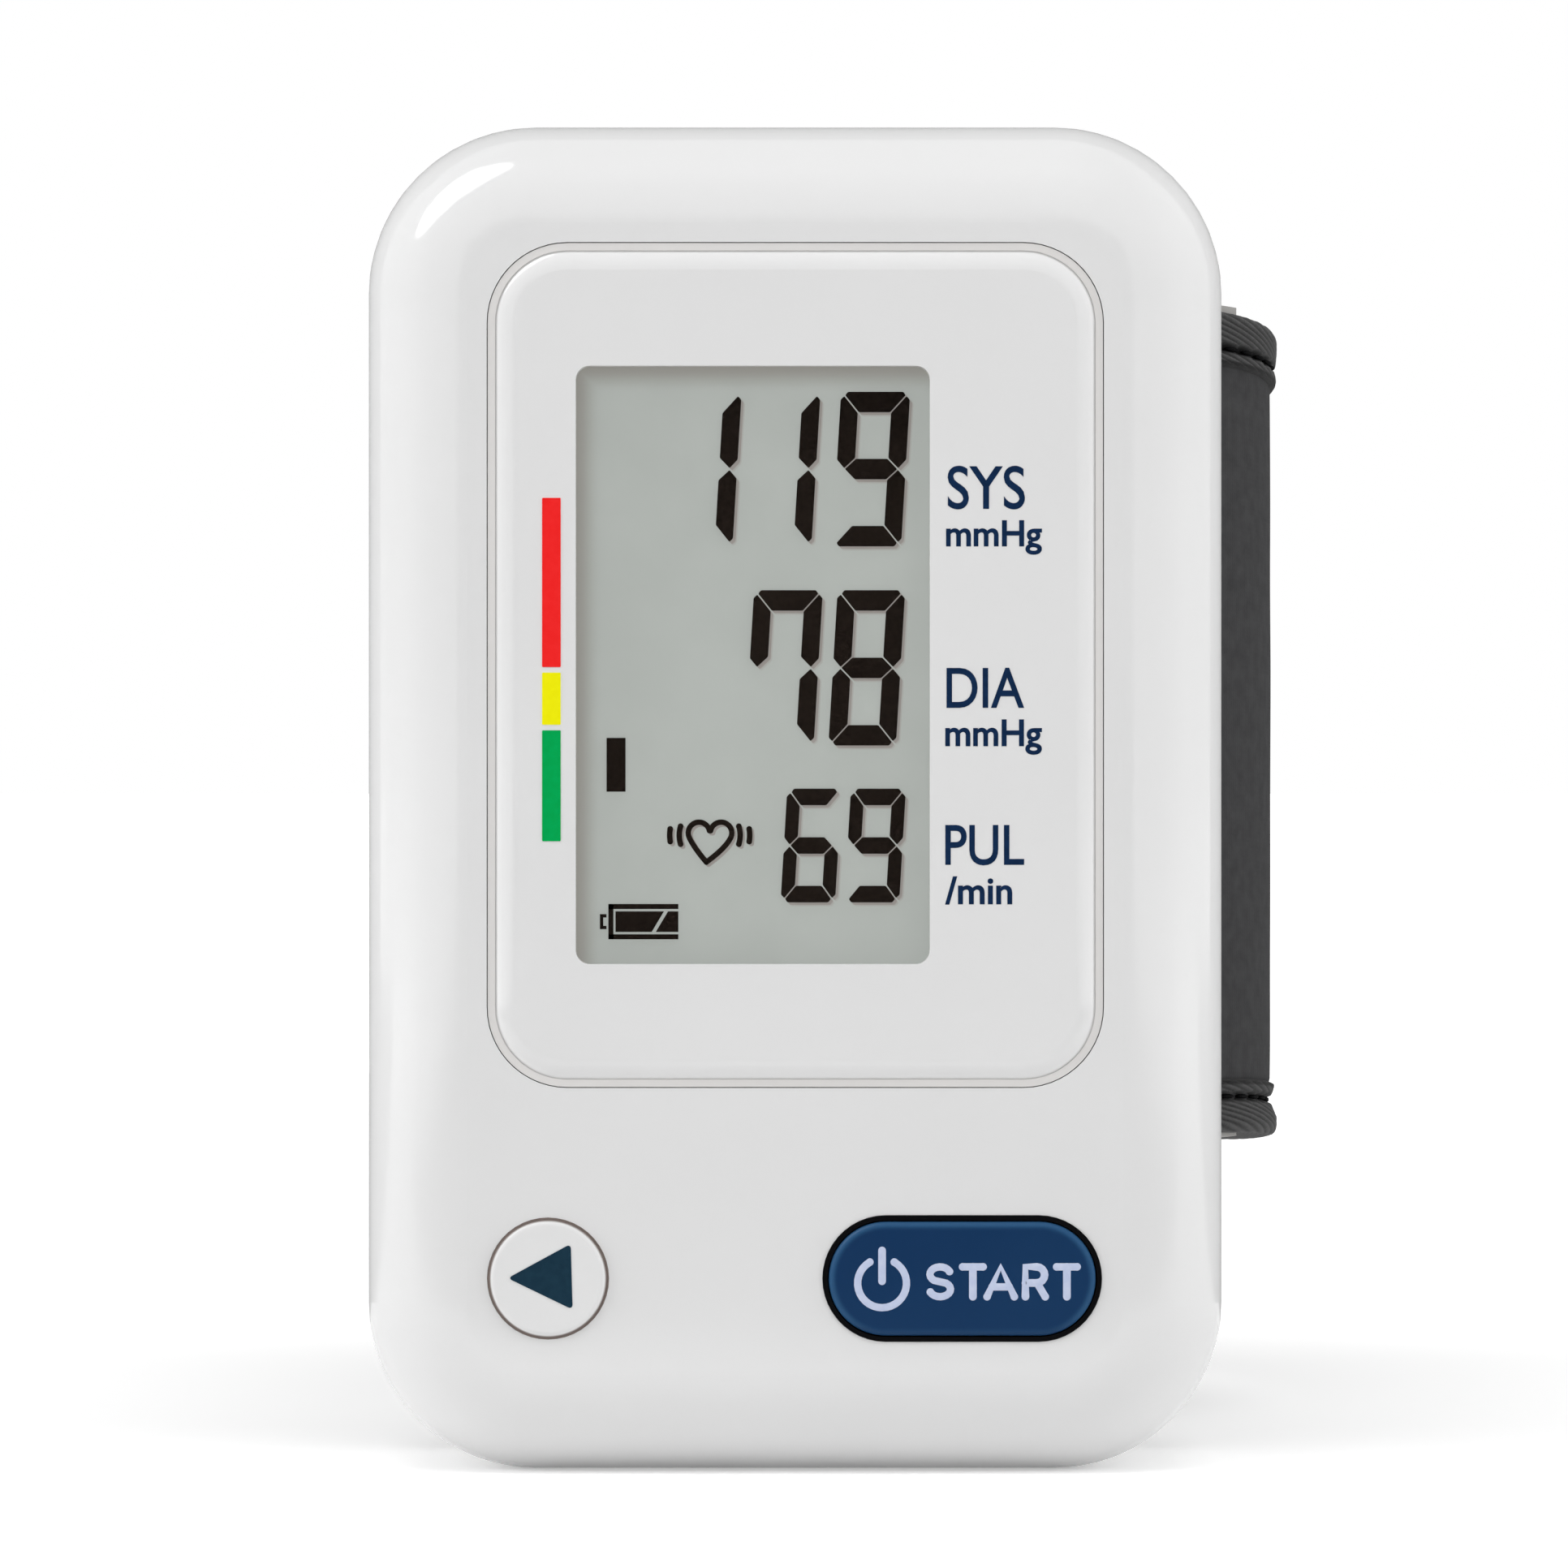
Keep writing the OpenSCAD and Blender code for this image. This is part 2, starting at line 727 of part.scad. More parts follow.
module start_switch() {
  color([0.2, 0.2, 0.22]) upright() at_start() switch_body();
}

module start_switch_stem() {
  color([0.7, 0.65, 0.5]) upright() at_start() switch_stem();
}

// Dry cell standing on its negative end, with its nub up
module cell() {
  rotate([-90, 0, 0]) {
    cylinder(h = cell_l - nub_h, r = cell_r);
    cylinder(h = cell_l, r = nub_r);
  }
}

// Left cell, nub down
module battery_left() {
  color([0.35, 0.37, 0.4]) upright()
    translate([cell_left_x, bay_low + plate_t + bump_h + 0.1 + cell_l, cell_f])
      rotate([180, 0, 0]) cell();
}

// Right cell, nub up
module battery_right() {
  color([0.35, 0.37, 0.4]) upright()
    translate([cell_right_x, bay_high - plate_t - bump_h - 0.1 - cell_l, cell_f]) cell();
}

// Contact plate against one end of the bay, with a bump for a cell's nub
module contact(x0, x1, bump_x, y, side) {
  low = side > 0 ? y - plate_t : y;
  translate([x0, low, cell_f - 4]) cube([x1 - x0, plate_t, 8]);
  if (bump_x != 0)
    translate([bump_x, y, cell_f]) rotate([side > 0 ? 90 : -90, 0, 0])
      cylinder(h = plate_t + bump_h, r = 2);
}

module contact_bridge() {
  color([0.8, 0.8, 0.78]) upright()
    contact(cell_left_x - 4.2, cell_right_x + 4.2, cell_right_x, bay_high - gap, 1);
}

module contact_plus() {
  color([0.8, 0.8, 0.78]) upright()
    contact(cell_left_x - 4.2, cell_left_x + 4.2, cell_left_x, bay_low + gap, -1);
}

module contact_minus() {
  color([0.8, 0.8, 0.78]) upright()
    contact(cell_right_x - 4.2, cell_right_x + 4.2, 0, bay_low + gap, -1);
}

// Wound spring of round wire, narrowing towards the cell
spring_turns = 3;
spring_steps = 12;
spring_sides = 6;
spring_wire_r = 0.3;
spring_base_r = 3.6;
spring_tip_r = 2.2;
spring_rise = spring_l - 2 * spring_wire_r - 0.1;

function spring_center(s) =
  let (a = 360 * spring_turns * s, r = mix(spring_base_r, spring_tip_r, s))
  [r * cos(a), r * sin(a), spring_wire_r + spring_rise * s];

module wound_spring() {
  count = spring_turns * spring_steps;
  rings = [for (i = [0 : count]) let (s = i / count, a = 360 * spring_turns * s, c = spring_center(s))
    for (k = [0 : spring_sides - 1]) let (b = 360 * k / spring_sides)
      c + spring_wire_r * [cos(b) * cos(a), cos(b) * sin(a), sin(b)]];
  sides = [for (i = [0 : count - 1], k = [0 : spring_sides - 1])
    let (n = (k + 1) % spring_sides, lo = i * spring_sides, hi = lo + spring_sides)
    each [[lo + k, hi + k, hi + n], [lo + k, hi + n, lo + n]]];
  last = count * spring_sides;
  ends = [for (k = [1 : spring_sides - 2]) each [[0, k, k + 1], [last, last + k + 1, last + k]]];
  polyhedron(points = rings, faces = concat(sides, ends));
}

module battery_springs() {
  color([0.78, 0.78, 0.8]) upright() {
    translate([cell_left_x, bay_high - plate_t - 2 * gap, cell_f]) rotate([90, 0, 0]) wound_spring();
    translate([cell_right_x, bay_low + plate_t + 2 * gap, cell_f]) rotate([-90, 0, 0]) wound_spring();
  }
}

module along_height(x, y, f) {
  translate([x, y, f]) rotate([-90, 0, 0]) children();
}

// Motor can with a bearing hole in each end
module pump_motor() {
  color([0.72, 0.72, 0.74]) upright() along_height(pump_x, pump_y, pump_f) difference() {
    cylinder(h = motor_l, r = pump_r);
    translate([0, 0, can_t]) cylinder(h = motor_l - 2 * can_t, r = pump_r - can_t);
    translate([0, 0, -cut]) cylinder(h = motor_l + 2 * cut, r = shaft_r + stem_slip);
  }
}

// Motor shaft with its armature and the crank that works the pump
module pump_rotor() {
  color([0.6, 0.45, 0.3]) upright() along_height(pump_x, pump_y - 0.4, pump_f) {
    cylinder(h = motor_l + 4, r = shaft_r);
    translate([0, 0, 2.4]) cylinder(h = motor_l - 5, r = pump_r - can_t - 0.9);
    translate([0, 0, motor_l + 1.4]) cylinder(h = 1.2, r = 2.8);
    translate([1.8, 0, motor_l + 2.5]) cylinder(h = 1.6, r = 0.6);
  }
}

// Head of the diaphragm pump with its outlet
module pump_head() {
  color([0.2, 0.2, 0.22]) upright() along_height(pump_x, head_y, pump_f) difference() {
    union() {
      cylinder(h = head_l, r = pump_r);
      cylinder(h = head_l + nozzle_l, r = nozzle_r);
    }
    translate([0, 0, -cut]) cylinder(h = cut + 5, r = pump_r - 1);
    translate([0, 0, head_l]) cylinder(h = nozzle_l + cut, r = 0.6);
  }
}

// Solenoid valve with its inlet below and a guide for its plunger above
module valve_body() {
  color([0.25, 0.25, 0.27]) upright() along_height(pump_x, valve_y, valve_f) difference() {
    union() {
      cylinder(h = valve_l, r = valve_r);
      translate([0, 0, -nozzle_l]) cylinder(h = nozzle_l + cut, r = nozzle_r);
    }
    translate([0, 0, 3]) cylinder(h = valve_l, r = plunger_rod_r + stem_slip);
    translate([0, 0, -nozzle_l - cut]) cylinder(h = nozzle_l + cut, r = 0.6);
  }
}

// Plunger of the exhaust valve
module valve_plunger() {
  color([0.75, 0.75, 0.77]) upright() along_height(pump_x, valve_y, valve_f) {
    translate([0, 0, 3.8]) cylinder(h = valve_l - 2.8, r = plunger_rod_r);
    translate([0, 0, valve_l + 0.9]) cylinder(h = 0.6, r = 1.8);
  }
}

// Pressure sensor on the back of the board, with its port facing backwards
module pressure_sensor() {
  color([0.85, 0.83, 0.78]) upright() translate([sensor_x, sensor_y, 0]) difference() {
    union() {
      translate([-sensor_w / 2, -sensor_w / 2, board_back - gap - sensor_t])
        cube([sensor_w, sensor_w, sensor_t]);
      rod(nozzle_r, board_back - gap - sensor_t - 2.6, board_back - gap - 1);
    }
    rod(0.5, board_back - sensor_t - 2.6 - cut, board_back - sensor_t);
  }
}

// Moulded silicone tubing that joins pump, valve, sensor and cuff
module air_manifold() {
  run = pump_f;
  sensor_port = board_back - gap - sensor_t;
  tip = 2.4;
  color([0.85, 0.82, 0.75]) upright() difference() {
    union() {
      along_height(pump_x, manifold_y - 3.4, run) cylinder(h = 6.6, r = tube_r);
      translate([nipple_x, manifold_y, run]) rotate([0, 90, 0])
        cylinder(h = pump_x - nipple_x, r = tube_r - 0.2);
      along_height(sensor_x, manifold_y, run) cylinder(h = sensor_y - manifold_y, r = tube_r - 0.4);
      translate([sensor_x, sensor_y, run]) sphere(tube_r);
      translate([sensor_x, sensor_y, 0]) rod(tube_r, run, sensor_port - 0.2);
      translate([nipple_x, manifold_y, run]) sphere(tube_r + 0.25);
      translate([nipple_x, manifold_y, 0]) rod(tube_r + 0.25, run - 4, run);
    }
    along_height(pump_x, manifold_y - 3.4 - cut, run) cylinder(h = tip + cut, r = nozzle_r + gap);
    along_height(pump_x, manifold_y + 3.2 - tip, run) cylinder(h = tip + cut, r = nozzle_r + gap);
    translate([sensor_x, sensor_y, 0]) rod(nozzle_r + gap, sensor_port - 2.8, sensor_port + cut);
    translate([nipple_x, manifold_y, 0]) rod(nipple_r + gap, run - 4 - cut, run - 1.2);
  }
}

// Hollow nipple that leads air from the housing into the bladder
module bladder_nipple() {
  color([0.8, 0.8, 0.78]) upright() translate([nipple_x, manifold_y, 0]) difference() {
    union() {
      rod(nipple_r, -bladder_face(), pump_f - 1.3);
      rod(flange_r, -bladder_face(), nipple_flange_t - bladder_face());
    }
    rod(0.9, -bladder_face() - cut, pump_f);
  }
}

// Distance behind the middle at which the nipple's flange meets the bladder
function bladder_face() =
  cuff_y - sqrt(pow(bladder_out, 2) - pow(max(0, abs(nipple_x - cuff_x) - flange_r), 2)) - slip;

// Ring segment about the cuff's axis
module arc_band(r0, r1, a0, a1, z0, z1) {
  translate([cuff_x, cuff_y, z0]) rotate_extrude(angle = a1 - a0, start = a0, $fn = 180)
    translate([r0, 0]) square([r1 - r0, z1 - z0]);
}

// Air bladder between the lining and the saddle
module air_bladder() {
  color([0.45, 0.42, 0.4])
    arc_band(bladder_in, bladder_out, stub_a + bladder_a, fixed_end_a - 6,
      layer_low + bladder_margin, layer_high - bladder_margin);
}

// Saddle that carries the cuff: a pad on the housing with two curved wings
module cuff_saddle() {
  pad_back = body_d / 2 + gap;
  color([0.74, 0.74, 0.73]) difference() {
    union() {
      intersection() {
        translate([cuff_x - pad_half, pad_back, pad_low])
          cube([2 * pad_half, pad_depth, pad_high - pad_low]);
        translate([cuff_x, cuff_y, pad_low - cut])
          difference() {
            cylinder(h = pad_high - pad_low + 2 * cut, r = cuff_y);
            translate([0, 0, -cut])
              cylinder(h = pad_high - pad_low + 4 * cut, r = saddle_r, $fn = 180);
          }
      }
      arc_band(saddle_r, saddle_r + saddle_t, wing_left_a, fixed_end_a - 1.5, pad_low, pad_high);
      for (z = [saddle_screw_low, saddle_screw_high])
        translate([peg_x, pad_back + 0.5, z]) rotate([90, 0, 0])
          cylinder(h = 0.5 + gap + wall, r = peg_r);
    }
    for (z = [saddle_screw_low, saddle_screw_high])
      translate([saddle_screw_x, pad_back - cut, z]) rotate([-90, 0, 0])
        cylinder(h = cut + 2.5, r = saddle_screw_r + 0.02);
    translate([nipple_x, pad_back - cut, manifold_y]) rotate([-90, 0, 0])
      cylinder(h = pad_depth, r = nipple_r + slip);
    translate([nipple_x, bladder_face() - nipple_flange_t - slip, manifold_y]) rotate([-90, 0, 0])
      cylinder(h = pad_depth, r = flange_r + slip);
  }
}

// Two screws that hold the saddle from inside the housing
module saddle_screws() {
  color([0.6, 0.6, 0.62]) upright()
    for (y = [saddle_screw_low, saddle_screw_high])
      translate([saddle_screw_x, y, 0]) {
        rod(saddle_head_r, floor_f + gap, floor_f + gap + 1.1);
        rod(saddle_screw_r, back_f - 2.4, floor_f + gap + 0.5);
      }
}

// Curled plastic sheet that keeps the fixed part of the cuff round
module cuff_curler() {
  color([0.8, 0.82, 0.82])
    arc_band(saddle_r, saddle_r + curler_t, stub_a + 3, wing_left_a - 0.3,
      layer_low + sheet_margin, layer_high - sheet_margin);
}

// Lining of the fixed part, which lies on the wrist
module cuff_lining() {
  color([0.2, 0.2, 0.2])
    arc_band(bore_r, bore_r + fabric_t, stub_a, fixed_end_a, layer_low, layer_high);
}

// Outer fabric of the fixed part, left of the saddle's pad
module cuff_cover_left() {
  color([0.26, 0.26, 0.26])
    arc_band(cover_r, cuff_r, stub_a, left_stop_a, layer_low, layer_high);
}

// Outer fabric of the fixed part, right of the saddle's pad
module cuff_cover_right() {
  color([0.26, 0.26, 0.26])
    arc_band(cover_r, cuff_r, right_stop_a, fixed_end_a, layer_low, layer_high);
}

// Binding tape folded over one end of the layers, from angle a0 to a1
module tape_run(a0, a1) {
  translate([cuff_x, cuff_y, 0]) for (top = [0, 1])
    translate([0, 0, top * (cuff_z + cuff_top)]) mirror([0, 0, top])
      rotate_extrude(angle = a1 - a0, start = a0, $fn = 180)
        polygon([
          [bore_r + tape_recess, cuff_z],
          [cuff_r + tape_t, cuff_z],
          [cuff_r + tape_t, cuff_z + tape_h],
          [cuff_r + gap, cuff_z + tape_h],
          [cuff_r + gap, layer_low - gap],
          [bore_r + tape_recess, layer_low - gap]
        ]);
}

// The saddle's wings reach past the fabric, so the tape stops short of them
module tape_clear_of_saddle() {
  difference() {
    children();
    arc_band(saddle_r - gap, saddle_r + saddle_t + gap, wing_left_a - 0.2, fixed_end_a,
      pad_low - cut, pad_high + cut);
  }
}

module cuff_tape_left() {
  color([0.23, 0.23, 0.23]) tape_clear_of_saddle() tape_run(stub_a, left_stop_a);
}

module cuff_tape_right() {
  color([0.23, 0.23, 0.23]) tape_clear_of_saddle() tape_run(right_stop_a, fixed_end_a);
}

// Loop side of the fastening, on the outside of the fixed end
module loop_patch() {
  color([0.12, 0.12, 0.12])
    arc_band(cuff_r + 0.03, cuff_r + tape_t, stub_a + 2, 190, cuff_z + tape_h + 0.3, cuff_top - tape_h - 0.3);
}

// One layer of the strap, between two shares of its thickness
module strap_layer(d0, e0, d1, e1, a0, a1, z0, z1) {
  steps = ceil((a1 - a0) / 3);
  inner = [for (i = [0 : steps]) strap_point(mix(a0, a1, i / steps), d0, e0)];
  outer = [for (i = [steps : -1 : 0]) strap_point(mix(a0, a1, i / steps), d1, e1)];
  translate([0, 0, z0]) linear_extrude(z1 - z0) polygon(concat(inner, outer));
}

module strap_cover() {
  color([0.26, 0.26, 0.26])
    strap_layer(1, -fabric_t, 1, 0, strap_start, strap_end_a, layer_low, layer_high);
}

module strap_lining() {
  color([0.2, 0.2, 0.2])
    strap_layer(0, 0, 0, fabric_t, strap_start, strap_end_a, layer_low, layer_high);
}

module strap_padding() {
  color([0.35, 0.35, 0.35])
    strap_layer(0, fabric_t + gap, 0.55, 0, strap_start + 1, stiff_end,
      layer_low + sheet_margin, layer_high - sheet_margin);
}

module strap_curler() {
  color([0.8, 0.82, 0.82])
    strap_layer(0.55, gap, 1, -fabric_t - gap, strap_start + 1, stiff_end,
      layer_low + sheet_margin, layer_high - sheet_margin);
}

// Binding tape along both edges and round the free end of the strap
module strap_tape() {
  tip = strap_end_a + 0.8;
  color([0.23, 0.23, 0.23]) {
    strap_layer(0, tape_recess, 1, tape_t, strap_start, tip, cuff_z, layer_low - gap);
    strap_layer(0, tape_recess, 1, tape_t, strap_start, tip, layer_high + gap, cuff_top);
    strap_layer(1, gap, 1, tape_t, strap_start, tip, cuff_z, cuff_z + tape_h);
    strap_layer(1, gap, 1, tape_t, strap_start, tip, cuff_top - tape_h, cuff_top);
    strap_layer(0, tape_recess, 1, tape_t, strap_end_a + 0.1, tip, cuff_z, cuff_top);
    strap_layer(1, gap, 1, tape_t, strap_end_a - 5, tip, cuff_z, cuff_top);
  }
}

// Hook side of the fastening, on the inside of the strap's free end
module hook_patch() {
  color([0.1, 0.1, 0.1])
    strap_layer(0, -patch_t, 0, -0.03, hook_start, hook_end, cuff_z + tape_h + 0.3, cuff_top - tape_h - 0.3);
}

front_case();
rear_case();
battery_cover();
case_screws();
display_panel();
display_window();
lcd_glass();
lcd_reflector();
lcd_frame();
zebra_strip();
main_board();
board_screws();
controller_chip();
buzzer();
memory_button();
memory_switch();
memory_switch_stem();
start_bezel();
start_button();
start_switch();
start_switch_stem();
battery_left();
battery_right();
contact_bridge();
contact_plus();
contact_minus();
battery_springs();
pump_motor();
pump_rotor();
pump_head();
valve_body();
valve_plunger();
pressure_sensor();
air_manifold();
bladder_nipple();
air_bladder();
cuff_saddle();
saddle_screws();
cuff_curler();
cuff_lining();
cuff_cover_left();
cuff_cover_right();
cuff_tape_left();
cuff_tape_right();
loop_patch();
strap_cover();
strap_lining();
strap_padding();
strap_curler();
strap_tape();
hook_patch();
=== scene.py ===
# %% [markdown]
# # A wrist blood pressure monitor
# The real object is a white housing of two moulded shells, with a display and two buttons, on a curled
# fabric cuff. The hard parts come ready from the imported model, in their true places. What is made here
# is their finish, everything printed or shown on the front, and the sewn cuff.

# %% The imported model
import bmesh
import bpy
import json
import math
from mathutils import Matrix, Vector, noise


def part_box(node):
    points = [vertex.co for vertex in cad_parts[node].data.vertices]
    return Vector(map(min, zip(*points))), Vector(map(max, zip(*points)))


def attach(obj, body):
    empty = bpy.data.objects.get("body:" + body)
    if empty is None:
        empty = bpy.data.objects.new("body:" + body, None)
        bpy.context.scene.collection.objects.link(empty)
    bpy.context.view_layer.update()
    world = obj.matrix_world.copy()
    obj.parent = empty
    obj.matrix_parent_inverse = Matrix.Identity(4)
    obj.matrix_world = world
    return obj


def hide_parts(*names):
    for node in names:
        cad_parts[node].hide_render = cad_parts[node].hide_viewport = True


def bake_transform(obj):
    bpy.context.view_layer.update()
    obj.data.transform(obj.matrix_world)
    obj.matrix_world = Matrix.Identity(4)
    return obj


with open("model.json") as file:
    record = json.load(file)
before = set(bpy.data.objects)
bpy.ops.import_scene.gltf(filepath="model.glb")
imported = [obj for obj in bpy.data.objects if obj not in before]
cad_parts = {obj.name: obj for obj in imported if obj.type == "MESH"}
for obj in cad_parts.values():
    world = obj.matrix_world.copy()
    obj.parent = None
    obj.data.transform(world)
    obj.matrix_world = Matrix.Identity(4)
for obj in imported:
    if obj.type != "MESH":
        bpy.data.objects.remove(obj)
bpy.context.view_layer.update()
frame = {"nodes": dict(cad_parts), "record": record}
MM = 0.001
nodes = frame["nodes"]
record = frame["record"]

# %% [markdown]
# ## Colours and a start for every material
# Colours are picked as a screen shows them and a shader wants them linear, so one helper turns the one
# into the other. Every material starts as a Principled shader whose constants sit on its own sockets,
# and a second helper adds one node and sets its inputs by name.


# %% Helpers for materials
def linear(code):
    """Shader colour of a screen colour such as EFEFEF."""
    shares = [int(code[i:i + 2], 16) / 255 for i in (0, 2, 4)]
    return tuple(s / 12.92 if s < 0.04045 else ((s + 0.055) / 1.055) ** 2.4 for s in shares) + (1.0,)


def finish(name, code, roughness, **sockets):
    """New material of one colour; socket names are written with underscores."""
    material = bpy.data.materials.new(name)
    material.use_nodes = True
    shader = material.node_tree.nodes["Principled BSDF"]
    shader.inputs["Base Color"].default_value = linear(code)
    shader.inputs["Roughness"].default_value = roughness
    for socket, value in sockets.items():
        shader.inputs[socket.replace("_", " ")].default_value = value
    return material


def add(material, kind, inputs=(), **settings):
    """New node with its settings, and its inputs set to a value or linked to a socket."""
    tree = material.node_tree
    node = tree.nodes.new("ShaderNode" + kind)
    for key, value in settings.items():
        setattr(node, key, value)
    for key, value in dict(inputs).items():
        if isinstance(value, bpy.types.NodeSocket):
            tree.links.new(value, node.inputs[key])
        else:
            node.inputs[key].default_value = value
    return node


def plug(material, socket, output):
    """Links an output to one of the material's own shader sockets."""
    shader = material.node_tree.nodes["Principled BSDF"]
    material.node_tree.links.new(output, shader.inputs[socket])


def place(material, scale=(1, 1, 1)):
    """Coordinates of the object in millimetres, stretched as asked."""
    coordinates = add(material, "TexCoord")
    size = [1000 * s for s in scale]
    return add(material, "Mapping", {"Vector": coordinates.outputs["Object"], "Scale": size}).outputs[0]


def flat_place(material):
    """The piece's own map, laid out in millimetres as the cloth was cut."""
    return add(material, "UVMap", uv_map="cut").outputs[0]


def calc(material, operation, *values, kind="Math"):
    """Output of a maths node whose inputs are given in order."""
    return add(material, kind, dict(enumerate(values)), operation=operation).outputs[0]


def cloud(material, where, scale, detail=3.0):
    """Soft noise from 0 to 1."""
    return add(material, "TexNoise", {"Vector": where, "Scale": scale, "Detail": detail}).outputs["Fac"]


def between(material, value, code_a, code_b, low=0.0, high=1.0):
    """Colour that goes from one tone at a low value to another at a high one."""
    node = add(material, "ValToRGB", {"Fac": value})
    for stop, code, at in zip(node.color_ramp.elements, (code_a, code_b), (low, high)):
        stop.position, stop.color = at, linear(code)
    return node.outputs["Color"]


def two_tones(material, code_a, code_b, where, scale, detail=3.0, low=0.35, high=0.65):
    """Colours a material with a soft mix of two tones."""
    share = cloud(material, where, scale, detail)
    plug(material, "Base Color", between(material, share, code_a, code_b, low, high))


def varied_gloss(material, where, scale, low, high):
    """Lets the roughness wander between two values, as handling does, and returns the noise used."""
    share = cloud(material, where, scale, 4.0)
    spread = add(material, "MapRange", {"Value": share, "From Min": 0.3, "From Max": 0.7,
                                        "To Min": low, "To Max": high})
    plug(material, "Roughness", spread.outputs[0])
    return share


def bump(material, height, strength, distance):
    """Turns a height in shares of the distance, given in millimetres, into relief."""
    relief = add(material, "Bump", {"Height": height, "Strength": strength, "Distance": distance * MM})
    plug(material, "Normal", relief.outputs[0])


def from_outline(material, x_mid, z_mid, width, height, radius):
    """Distance in millimetres inwards from a rounded rectangle's outline in X and Z."""
    past = place(material)
    for operation, *other in (("MULTIPLY", (1, 0, 1)), ("SUBTRACT", (x_mid, 0, z_mid)), ("ABSOLUTE",),
                              ("SUBTRACT", (width / 2 - radius, 0, height / 2 - radius)),
                              ("MAXIMUM", (0, 0, 0))):
        past = calc(material, operation, past, *other, kind="VectorMath")
    reach = add(material, "VectorMath", {0: past}, operation="LENGTH")
    return calc(material, "SUBTRACT", radius, reach.outputs["Value"])


def colour_of(material):
    """The output that colours a material."""
    return material.node_tree.nodes["Principled BSDF"].inputs["Base Color"].links[0].from_socket


def blend_in(material, code, share):
    """Mixes one more tone into a material's colour, by a share from 0 to 1."""
    mix = add(material, "Mix", {0: share, 6: colour_of(material), 7: linear(code)}, data_type="RGBA")
    plug(material, "Base Color", mix.outputs[2])


def ramp(material, value, start, end, low=0.0, high=1.0):
    """A value eased from low to high between a start and an end."""
    return add(material, "MapRange", {"Value": value, "From Min": start, "From Max": end, "To Min": low,
                                      "To Max": high}, interpolation_type="SMOOTHSTEP").outputs[0]


# %% [markdown]
# ## Moulded plastic
# The housing is glossy white plastic. Real mouldings are never quite even: the tone drifts a little, the
# gloss wanders and the skin has a faint orange peel. All three come from noise on Object coordinates, so
# they stay on the piece when it moves.


# %% Moulded plastic
def moulded(name, code_a, code_b, gloss, peel=0.05, grain=0.35, **sockets):
    """Plastic with a drifting tone, wandering gloss and faint orange peel."""
    material = finish(name, code_b, gloss, **sockets)
    where = place(material)
    two_tones(material, code_a, code_b, where, 0.05)
    varied_gloss(material, where, 0.12, gloss * 0.9, gloss * 1.15)
    bump(material, cloud(material, where, grain, 2.0), peel, 0.05)
    return material


white_case = moulded("white_case", "F0F0F0", "EEEEEE", 0.1, peel=0.012)
white_panel = moulded("white_panel", "F1F1F1", "EFEFEF", 0.1, peel=0.01)
white_key = moulded("white_key", "EFEFEF", "EDEDED", 0.3, peel=0.01, Specular_IOR_Level=0.3)
navy_key = moulded("navy_key", "10345D", "133860", 0.3, peel=0.01, Specular_IOR_Level=0.12)
saddle_plastic = moulded("saddle_plastic", "A8A6A3", "AEACA9", 0.45, peel=0.25, grain=1.2)
black_rubber = moulded("black_rubber", "050507", "08080A", 0.5, peel=0.3, grain=2.0,
                       Specular_IOR_Level=0.05)
# Tones of the rings in the panel's and the key's gaps: partly seal and keypad sheet, partly painted gap
# shade.
seal_foam_gap_shade = moulded("seal_foam_gap_shade", "E5E3E1", "E9E7E5", 0.7, Specular_IOR_Level=0.1)
key_sheet_gap_shade = moulded("key_sheet_gap_shade", "8F827C", "988B85", 0.7, Specular_IOR_Level=0.1)
holder_plastic = moulded("holder_plastic", "DDDCD6", "E4E3DE", 0.45)
chip_plastic = moulded("chip_plastic", "141416", "1C1C1F", 0.5, peel=0.5, grain=3.0)
stem_plastic = moulded("stem_plastic", "B59B6A", "C2A878", 0.45)
port_plastic = moulded("port_plastic", "D8D5CC", "E0DDD5", 0.4)
tube_silicone = moulded("tube_silicone", "D2CBBB", "DCD6C8", 0.5, Subsurface_Weight=0.1)
contact_rubber = moulded("contact_rubber", "B98A90", "C89AA0", 0.55)
bladder_skin = moulded("bladder_skin", "4A4541", "55504B", 0.6, peel=0.4, grain=1.5)
curl_sheet = moulded("curl_sheet", "C2C8C8", "CDD2D2", 0.3)

# %% [markdown]
# ## Metal, board and cells
# Nobody sees these while the housing is shut, but they are real pieces. Plated metal gets fine streaks
# along its length, the board a solder mask with a faint weave, and the cells a plain printed sleeve.


# %% Metal, board and cells
def plated(name, code, roughness, streak=(6.0, 6.0, 0.4)):
    """Plated metal with fine drawn streaks."""
    material = finish(name, code, roughness, Metallic=1.0)
    streaks = varied_gloss(material, place(material, streak), 1.0, roughness * 0.7, roughness * 1.3)
    bump(material, streaks, 0.15, 0.02)
    return material


screw_metal = plated("screw_metal", "A9A9AC", 0.32)
contact_metal = plated("contact_metal", "C8C5BC", 0.25)
can_metal = plated("can_metal", "B4B4B8", 0.28)
winding_metal = plated("winding_metal", "B5784A", 0.35, streak=(0.6, 0.6, 8.0))

board_mask = finish("board_mask", "135A2C", 0.35)
board_place = place(board_mask)
two_tones(board_mask, "0F4F26", "176534", board_place, 0.6)
board_weave = add(board_mask, "TexWave", {"Vector": board_place, "Scale": 1.4, "Distortion": 0.0})
bump(board_mask, board_weave.outputs["Fac"], 0.1, 0.03)

cell_sleeve = finish("cell_sleeve", "4B525C", 0.3, Metallic=0.4)
cell_band = add(cell_sleeve, "TexGradient", {"Vector": place(cell_sleeve, (0, 0, 0.02))})
two_tones(cell_sleeve, "444B55", "59616C", place(cell_sleeve), 0.3)
bump(cell_sleeve, cell_band.outputs["Fac"], 0.05, 0.02)
